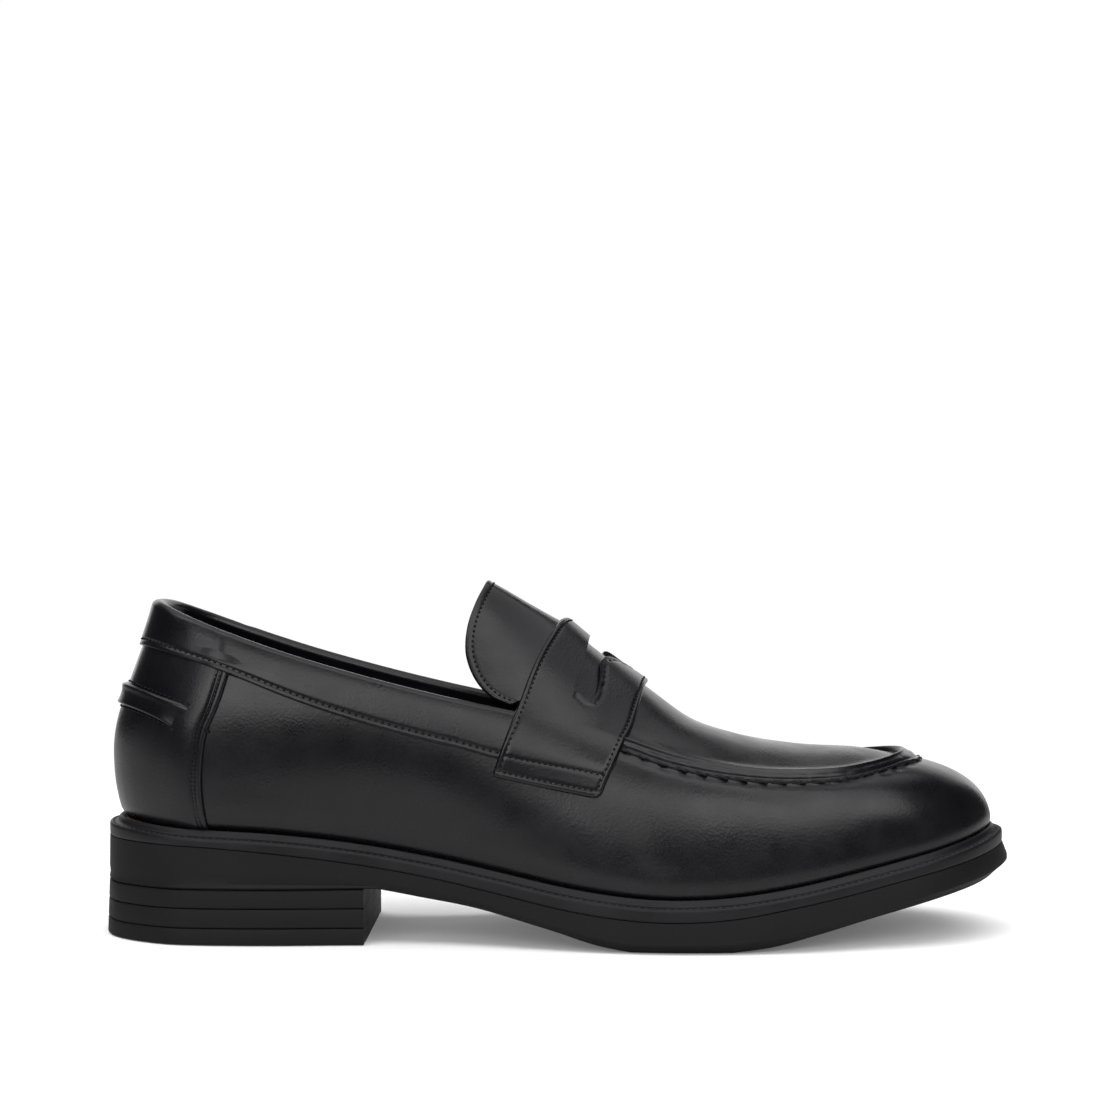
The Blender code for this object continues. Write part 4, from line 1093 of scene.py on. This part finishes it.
def make_linings():
    """Lining of the wall all round, and the lining under the apron."""
    p = np.linspace(0, ROUND, 400, endpoint=False)
    t, _ = around(p)
    scale = skin_frame(p, np.full_like(p, 0.9))[2]
    open_top = 1.0 - 13.0 / scale
    closed_top = np.maximum(0.93, 0.99 - (t - SADDLE_LINE) * 0.05)
    share = smoothstep(6.4, 7.2, t)
    top = open_top * (1 - share) + closed_top * share
    v = np.linspace(0, 1, 22)
    r = 0.015 + (top[:, None] - 0.015) * v
    pp = np.broadcast_to(p[:, None], r.shape)
    outer = on_skin(pp, r, -3.2 + 0.06 * ripple(skin(pp, r), 10, 5))
    lining = faced("lining", outer, on_skin(pp, r, -4.05), LINING, closed=True)
    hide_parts("lining_rear", "lining_toe")
    tt, r, _ = vault_grid(np.arange(6.85, 13.01, 0.1), np.linspace(0, 1, 14), 4.2)
    vault = faced("apron_lining", on_skin(tt, r, -3.3), on_skin(tt, r, -4.2), LINING)
    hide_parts("apron_lining_rear", "apron_lining_toe")
    return lining, vault


# ---------------------------------------------------------------- the bottom

def sole_bottom(x):
    """Height of the outsole's underside at x."""
    ramp = SEAT_HEIGHT + (SOLE_BOTTOM[0][1] - SEAT_HEIGHT) * (x - SEAT_END) / (
        SOLE_BOTTOM[0][0] - SEAT_END)
    low = np.maximum(along(SOLE_BOTTOM, x), 0.0)
    height = np.where(x < SOLE_BOTTOM[0][0], ramp, low)
    height = np.where(x <= SEAT_END, SEAT_HEIGHT, height)
    height = np.where(x >= CONTACT_START, 0.0, height)
    return np.where(x >= CONTACT_END, np.maximum(along(TOE_SPRING, x), 0.0), height)


def plan_point(t, side, offset):
    """Plan points (x, y) `offset` outside the feather line."""
    foot = outline(t, side) + outward(outline, t, side) * np.asarray(offset)[..., None]
    return foot[..., 0], side * foot[..., 1] + swing(foot[..., 0])


def edge_points(t, side, offset, height):
    """Points outside the feather line by `offset`, at heights given by a function of x."""
    x, y = plan_point(t, np.full_like(t, float(side)), np.broadcast_to(offset, t.shape))
    return np.stack([x, y, height(x)], axis=-1)


def feather(x):
    """Height of the feather line at x."""
    return along(FEATHER_HEIGHT, x)


def welt_bottom(x):
    """Height of the welt's underside at x."""
    return along(WELT_BOTTOM, x)


def plate(name, t, edges, material, across=9, relief=None, crease=40):
    """Plate across the shoe: edges are (offset, height) from its top to its underside."""
    lateral, medial = (np.stack([edge_points(t, side, *edge) for edge in edges], axis=1)
                       for side in (-1, 1))
    u = np.linspace(0, 1, across + 2)[1:-1][None, :, None]

    def bridge(a, b, height, pattern):
        middle = a[:, None] * (1 - u) + b[:, None] * u
        middle[..., 2] = height(middle[..., 0])
        if pattern:
            edge = np.minimum(u[..., 0], 1 - u[..., 0]) * np.linalg.norm(b - a, axis=1)[:, None]
            middle[..., 2] += pattern(middle[..., 0], middle[..., 1], edge)
        return middle

    under = bridge(lateral[:, -1], medial[:, -1], edges[-1][1], relief)
    over = bridge(medial[:, 0], lateral[:, 0], edges[0][1], None)
    rings = np.concatenate([lateral, under, medial[:, ::-1], over], axis=1)
    if rings.shape[1] % 2:
        rings = rings[:, :-1]
    return loft(name, rings, material, crease=crease)


def raised(curve, by):
    """A height curve moved up."""
    return lambda x: curve(x) + by


def ribs(x, y, edge, start, end, border):
    """Depth of moulded ribs between two fades in x, and of a groove inside the plain border."""
    wave = 2.4 * np.sin(y / 7.5)
    groove = smoothstep(0.55, 0.9, np.cos(2 * math.pi * (x + wave) / RIB_PITCH))
    field = smoothstep(5.0, 7.0, edge) * smoothstep(*start, x) * (1 - smoothstep(*end, x))
    return RIB_DEPTH * np.maximum(groove * field, bump_at(edge, 4.2, 0.7) * border * 0.8)


def tread(x, y, edge):
    """Depth of the pattern under the forefoot."""
    return ribs(x, y, edge, (-4, 2), (128, 134), smoothstep(-40, -30, x))


def heel_tread(x, y, edge):
    """Depth of the pattern under the top piece."""
    return ribs(x, y, edge, (-140, -134), (-73, -68), 1.0)


def make_outsole():
    """Rubber outsole with its moulded edge and ribbed tread."""
    t = np.linspace(0, LAST, 350)
    x = station(t)[:, 0]

    def at(offset_table, by=0.0):
        return along(offset_table, x) + by

    def between(share):
        return lambda q: sole_bottom(q) * share + welt_bottom(q) * (1 - share)

    def low(q):
        return sole_bottom(q) + 0.5

    top = np.full_like(x, 4.4)
    side = at(SOLE_EDGE)
    edges = [(top - 0.4, welt_bottom),
             (top, raised(welt_bottom, -0.06)),
             (top + 0.45 * (side - top), between(0.25)),
             (side - 0.04, between(0.55)),
             (side, between(0.70)),
             (np.minimum(side - 0.25, at(SOLE_FOOT_EDGE, 1.2)), between(0.86)),
             (at(SOLE_FOOT_EDGE, 0.05), low),
             (at(SOLE_FOOT_EDGE, -0.5), sole_bottom)]
    sole = plate("outsole", t, edges, SOLE, across=96, relief=tread, crease=35)
    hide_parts("outsole_rear", "outsole_toe")
    return sole


def make_inner_plates():
    """Insole board, cork filler, footbed and sock liner."""
    t = np.linspace(0, LAST, 140)

    def layered(name, profile, material, **form):
        edges = [(offset, raised(feather, rise)) for offset, rise in profile]
        return plate(name, t, edges, material, **form)

    board = layered("insole_board", [(-1.2, -0.2), (-1.0, -0.5), (-1.0, -1.7), (-1.2, -2.0)],
                    BOARD)
    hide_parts("insole_board_rear", "insole_board_toe")
    bed = layered("footbed", [(-5.8, 2.9), (-5.4, 2.4), (-5.4, 0.2)], FOAM)
    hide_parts("footbed_rear", "footbed_toe")
    sock = layered("sock_liner", [(-5.9, 4.1), (-5.5, 4.3), (-5.2, 3.9), (-5.4, 3.2)], SOCK,
                   across=24)
    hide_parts("sock_liner_rear", "sock_liner_toe")
    filler = plate("cork_filler", np.linspace(8.1, LAST, 60),
                   [(-1.6, raised(feather, -2.4)), (-1.6, raised(welt_bottom, 0.1))], CORK)
    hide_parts("filler_ball", "filler_toe")
    return board, bed, sock, filler


def welt_run():
    """p values round the welt, closer together at the toe where its ribs are cut."""
    start, end = LAST - 1.35, LAST + 1.35
    return np.concatenate([np.arange(0, start, 0.06), np.arange(start, end, 0.016),
                           np.arange(end, ROUND - 0.01, 0.06)])


def plan_round(p, offset):
    """Plan points round the shoe, `offset` outside the feather line."""
    t, side = around(p)
    return plan_point(t, side, offset)


# The welt's section, in millimetres: (outside the feather line, above it), then (outside the
# feather line, above the welt's underside).
WELT_TOP = np.array([
    (0.3, -1.5), (-0.5, -0.8), (-0.35, 0.2), (0.1, 0.75), (0.7, 0.9), (1.2, 0.5), (1.5, -0.2),
    (1.75, -0.9), (2.1, -1.15), (2.5, -1.25), (2.85, -1.45), (3.15, -1.7), (3.45, -1.5),
    (3.75, -1.3), (4.1, -1.42), (4.3, -1.7), (4.4, -2.1), (4.43, -2.6),
])
WELT_LOW = np.array([(4.42, 1.1), (4.32, 0.35), (4.10, 0.1), (0.3, 0.1)])
WELT_ROW = 3.15


def make_welt():
    """Welt with its bead against the upper, stitch channel and ribbed top at the toe."""
    p = welt_run()
    x, y = plan_round(p[:, None], np.concatenate([WELT_TOP, WELT_LOW])[None, :, 0])
    top = feather(x[:, :len(WELT_TOP)]) + WELT_TOP[:, 1]
    low = welt_bottom(x[:, len(WELT_TOP):]) + WELT_LOW[:, 1]
    z = np.concatenate([top, low], axis=1)
    travelled = distance_along(np.stack(plan_round(p, np.full_like(p, 3.0)), axis=-1))
    toe = (1 - smoothstep(1.0, 1.3, np.abs(p - LAST)))[:, None]
    z[:, 7:16] += 0.16 * toe * np.cos(2 * math.pi * travelled / 1.45)[:, None]
    welt = loft("welt", np.stack([x, y, z], axis=-1), WELT, closed=True, crease=50)
    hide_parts("welt_rear", "welt_toe")
    q = np.arange(0, ROUND, 0.02)
    x, y = plan_round(q, np.full_like(q, WELT_ROW))
    path = np.stack([x, y, feather(x) - 1.6], axis=-1)
    up = np.broadcast_to([0.0, 0.0, 1.0], path.shape)
    row = stitches("welt_stitches", path, up, WELT_THREAD, pitch=2.3, length=1.4, radius=0.26)
    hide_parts("welt_thread_rear", "welt_thread_toe")
    return welt, row


LIFTS = (("heel_lift_upper", 11.62, 17.55, None), ("heel_lift_lower", 5.42, 11.46, None),
         ("heel_top_piece", 0.0, 5.26, heel_tread))


def breast_station():
    """Station where the feather line reaches the heel's breast."""
    low, high = 0.0, 8.0
    for _ in range(40):
        middle = (low + high) / 2
        low, high = (middle, high) if station(middle)[0] < BREAST_X else (low, middle)
    return low


def make_heel():
    """Two lifts and the top piece, with softened edges."""
    t = np.concatenate([np.linspace(0, 1, 30)[:-1], np.linspace(1, breast_station(), 90)])

    def level(z):
        return lambda x: np.full_like(x, z)

    pieces = []
    for name, bottom, top, relief in LIFTS:
        profile = [(-0.9, top), (-0.32, top - 0.06), (-0.06, top - 0.34), (0.0, top - 0.7),
                   (0.0, bottom + 0.6), (-0.06, bottom + 0.3), (-0.3, bottom + 0.06),
                   (-0.8, bottom)]
        edges = [(LIFT_EDGE + HEEL_FLARE * (SEAT_HEIGHT - z) + shift, level(z))
                 for shift, z in profile]
        piece = plate(name + "_block", t, edges, SOLE, across=70 if relief else 9, relief=relief,
                      crease=30)
        vertices = piece.data.vertices
        places = np.empty(len(vertices) * 3)
        vertices.foreach_get("co", places)
        places = places.reshape(-1, 3)
        places[:, 0] = np.minimum(places[:, 0], BREAST_X * MM)
        vertices.foreach_set("co", places.ravel())
        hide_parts(name)
        pieces.append(piece)
    return pieces


# ---------------------------------------------------------------- studio

WHITE = 1.02
FLAG_HALF = 1.5
FLAG_EDGE = -0.18
LIGHTS = [
    ("heel_box", (-0.6, -1.3, 0.60), (-0.05, 0, 0.03), (1.0, 0.85), 2.6),
    ("toe_box", (0.65, -1.25, 0.80), (0.05, 0, 0.03), (1.5, 0.70), 2.5),
    ("high_box", (-0.1, -0.45, 1.1), (0, 0, 0.05), (2.4, 0.5), 2.0),
    ("overhead", (0.0, 0.25, 1.2), (0, 0, 0), (1.6, 1.0), 0.9),
    ("floor_light", (0.0, 0.1, 1.4), (0, 0.1, 0), (2.6, 2.0), 1.6),
    ("rear_strip", (0.0, 1.5, 0.55), (0, 0, 0.1), (2.6, 1.0), 1.2),
]


def aim(obj, target):
    """Turn an object's -Z axis to a point."""
    direction = Vector(target) - obj.location
    obj.rotation_euler = direction.to_track_quat("-Z", "Y").to_euler()


def softbox(name, place, target, size, radiance):
    """Rectangular light of a given brightness, size in metres."""
    light = bpy.data.lights.new(name, "AREA")
    light.shape = "RECTANGLE"
    light.size, light.size_y = size
    light.energy = radiance * math.pi * size[0] * size[1]
    obj = linked(name, light)
    obj.location = place
    aim(obj, target)
    return obj


def prop(name, shape, material, **size):
    """Flat thing that is no part of the shoe."""
    mesh = bpy.data.meshes.new(name)
    bm = bmesh.new()
    shape(bm, **size)
    bm.to_mesh(mesh)
    bm.free()
    mesh.materials.append(material)
    return linked(name, mesh)


def floor_material():
    """White floor whose glow fades in towards its rim, dimmed for what the gloss reflects."""
    material, tree, shader = new_material("white_floor", (0.86, 0.86, 0.86), 0.85,
                                          Specular_IOR_Level=0.1, Emission_Color=(1, 1, 1, 1),
                                          Emission_Strength=0.12)
    glow = node(tree, "ShaderNodeEmission", Strength=WHITE)
    place = tree.nodes.new("ShaderNodeTexCoord")
    length = tree.nodes.new("ShaderNodeVectorMath")
    length.operation = "LENGTH"
    tree.links.new(place.outputs["Object"], length.inputs[0])
    fade = tree.nodes.new("ShaderNodeMapRange")
    fade.interpolation_type = "SMOOTHSTEP"
    fill_in(fade, {"From Min": 0.28, "From Max": 0.75})
    tree.links.new(length.outputs["Value"], fade.inputs["Value"])
    white = mix_shaders(tree, fade.outputs["Result"], shader.outputs["BSDF"],
                        glow.outputs["Emission"])
    path = tree.nodes.new("ShaderNodeLightPath")
    dim = tree.nodes.new("ShaderNodeMath")
    dim.operation = "MULTIPLY"
    dim.inputs[1].default_value = 0.45
    tree.links.new(path.outputs["Is Glossy Ray"], dim.inputs[0])
    dark = node(tree, "ShaderNodeBsdfDiffuse", Color=(0, 0, 0, 1))
    dimmed = mix_shaders(tree, dim.outputs["Value"], white, dark.outputs["BSDF"])
    tree.links.new(dimmed, tree.nodes["Material Output"].inputs["Surface"])
    return material


def make_floor():
    """White floor, lit near the shoe and glowing white towards its rim."""
    floor = prop("floor", bmesh.ops.create_circle, floor_material(), cap_ends=True, segments=96,
                 radius=4.0)
    floor.location.z = -0.0002


def make_flag():
    """Black cloth on the floor towards the camera, there only for what the gloss reflects."""
    cloth, _, _ = new_material("black_cloth", (0.02, 0.02, 0.02), 0.9)
    flag = prop("flag", bmesh.ops.create_grid, cloth, x_segments=1, y_segments=1, size=FLAG_HALF)
    flag.location = (0, FLAG_EDGE - FLAG_HALF, 0.002)
    flag.visible_camera = False
    flag.visible_diffuse = False
    flag.visible_shadow = False


def make_world():
    """Dim studio walls, with a white surround in view."""
    world = bpy.data.worlds.new("studio")
    world.use_nodes = True
    tree = world.node_tree
    walls = tree.nodes["Background"]
    fill_in(walls, {"Color": (1, 1, 1, 1), "Strength": 0.04})
    surround = node(tree, "ShaderNodeBackground", Color=(1, 1, 1, 1), Strength=WHITE)
    path = tree.nodes.new("ShaderNodeLightPath")
    mixed = mix_shaders(tree, path.outputs["Is Camera Ray"], walls.outputs["Background"],
                        surround.outputs["Background"])
    tree.links.new(mixed, tree.nodes["World Output"].inputs["Surface"])
    bpy.context.scene.world = world


def make_camera():
    """Level camera facing the outer side."""
    data = bpy.data.cameras.new("camera")
    data.lens = 66.1
    data.sensor_width = 36
    data.clip_start = 0.01
    camera = linked("camera", data)
    camera.location = (0, -0.689, 0.1227)
    camera.rotation_euler = (math.radians(90), 0, 0)
    bpy.context.scene.camera = camera


def make_studio():
    """Camera, floor, surround and lights."""
    make_camera()
    make_floor()
    make_world()
    for name, place, target, size, radiance in LIGHTS:
        softbox(name, place, target, size, radiance).visible_glossy = name != "floor_light"
    make_flag()
    bpy.context.scene.view_settings.view_transform = "Standard"


# ---------------------------------------------------------------- assembly


def repaint(names, material):
    """Better material on CAD nodes that stay."""
    for name in names:
        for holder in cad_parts[name].material_slots:
            holder.material = material


def main():
    """Build every piece, hang the rigid ones on the rear part's body and bake the others' placement
    into their meshes.
    """
    bending = [make_vamp(), make_apron(), *make_apron_roll(), *make_linings(), make_outsole(),
               *make_inner_plates(), *make_welt()]
    rigid = [*make_heel_cover(), *make_collar(), *make_heel_roll(), *make_saddle(), *make_heel()]
    flap = list(make_tongue())
    for piece in bending:
        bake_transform(piece)
    for piece in rigid:
        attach(piece, "rearpart")
    for piece in flap:
        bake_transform(piece)
    repaint(["heel_counter", "toe_puff", "heel_seat_pad"], BOARD)
    repaint(["collar_foam"], FOAM)
    repaint(["steel_shank", *NAILS], STEEL)
    make_studio()


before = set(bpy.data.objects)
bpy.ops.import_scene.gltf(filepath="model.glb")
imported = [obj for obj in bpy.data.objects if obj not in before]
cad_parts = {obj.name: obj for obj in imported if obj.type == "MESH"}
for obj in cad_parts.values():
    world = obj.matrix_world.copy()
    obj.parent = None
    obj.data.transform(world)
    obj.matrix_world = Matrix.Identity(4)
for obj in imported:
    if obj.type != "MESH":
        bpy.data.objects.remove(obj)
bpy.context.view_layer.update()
main()
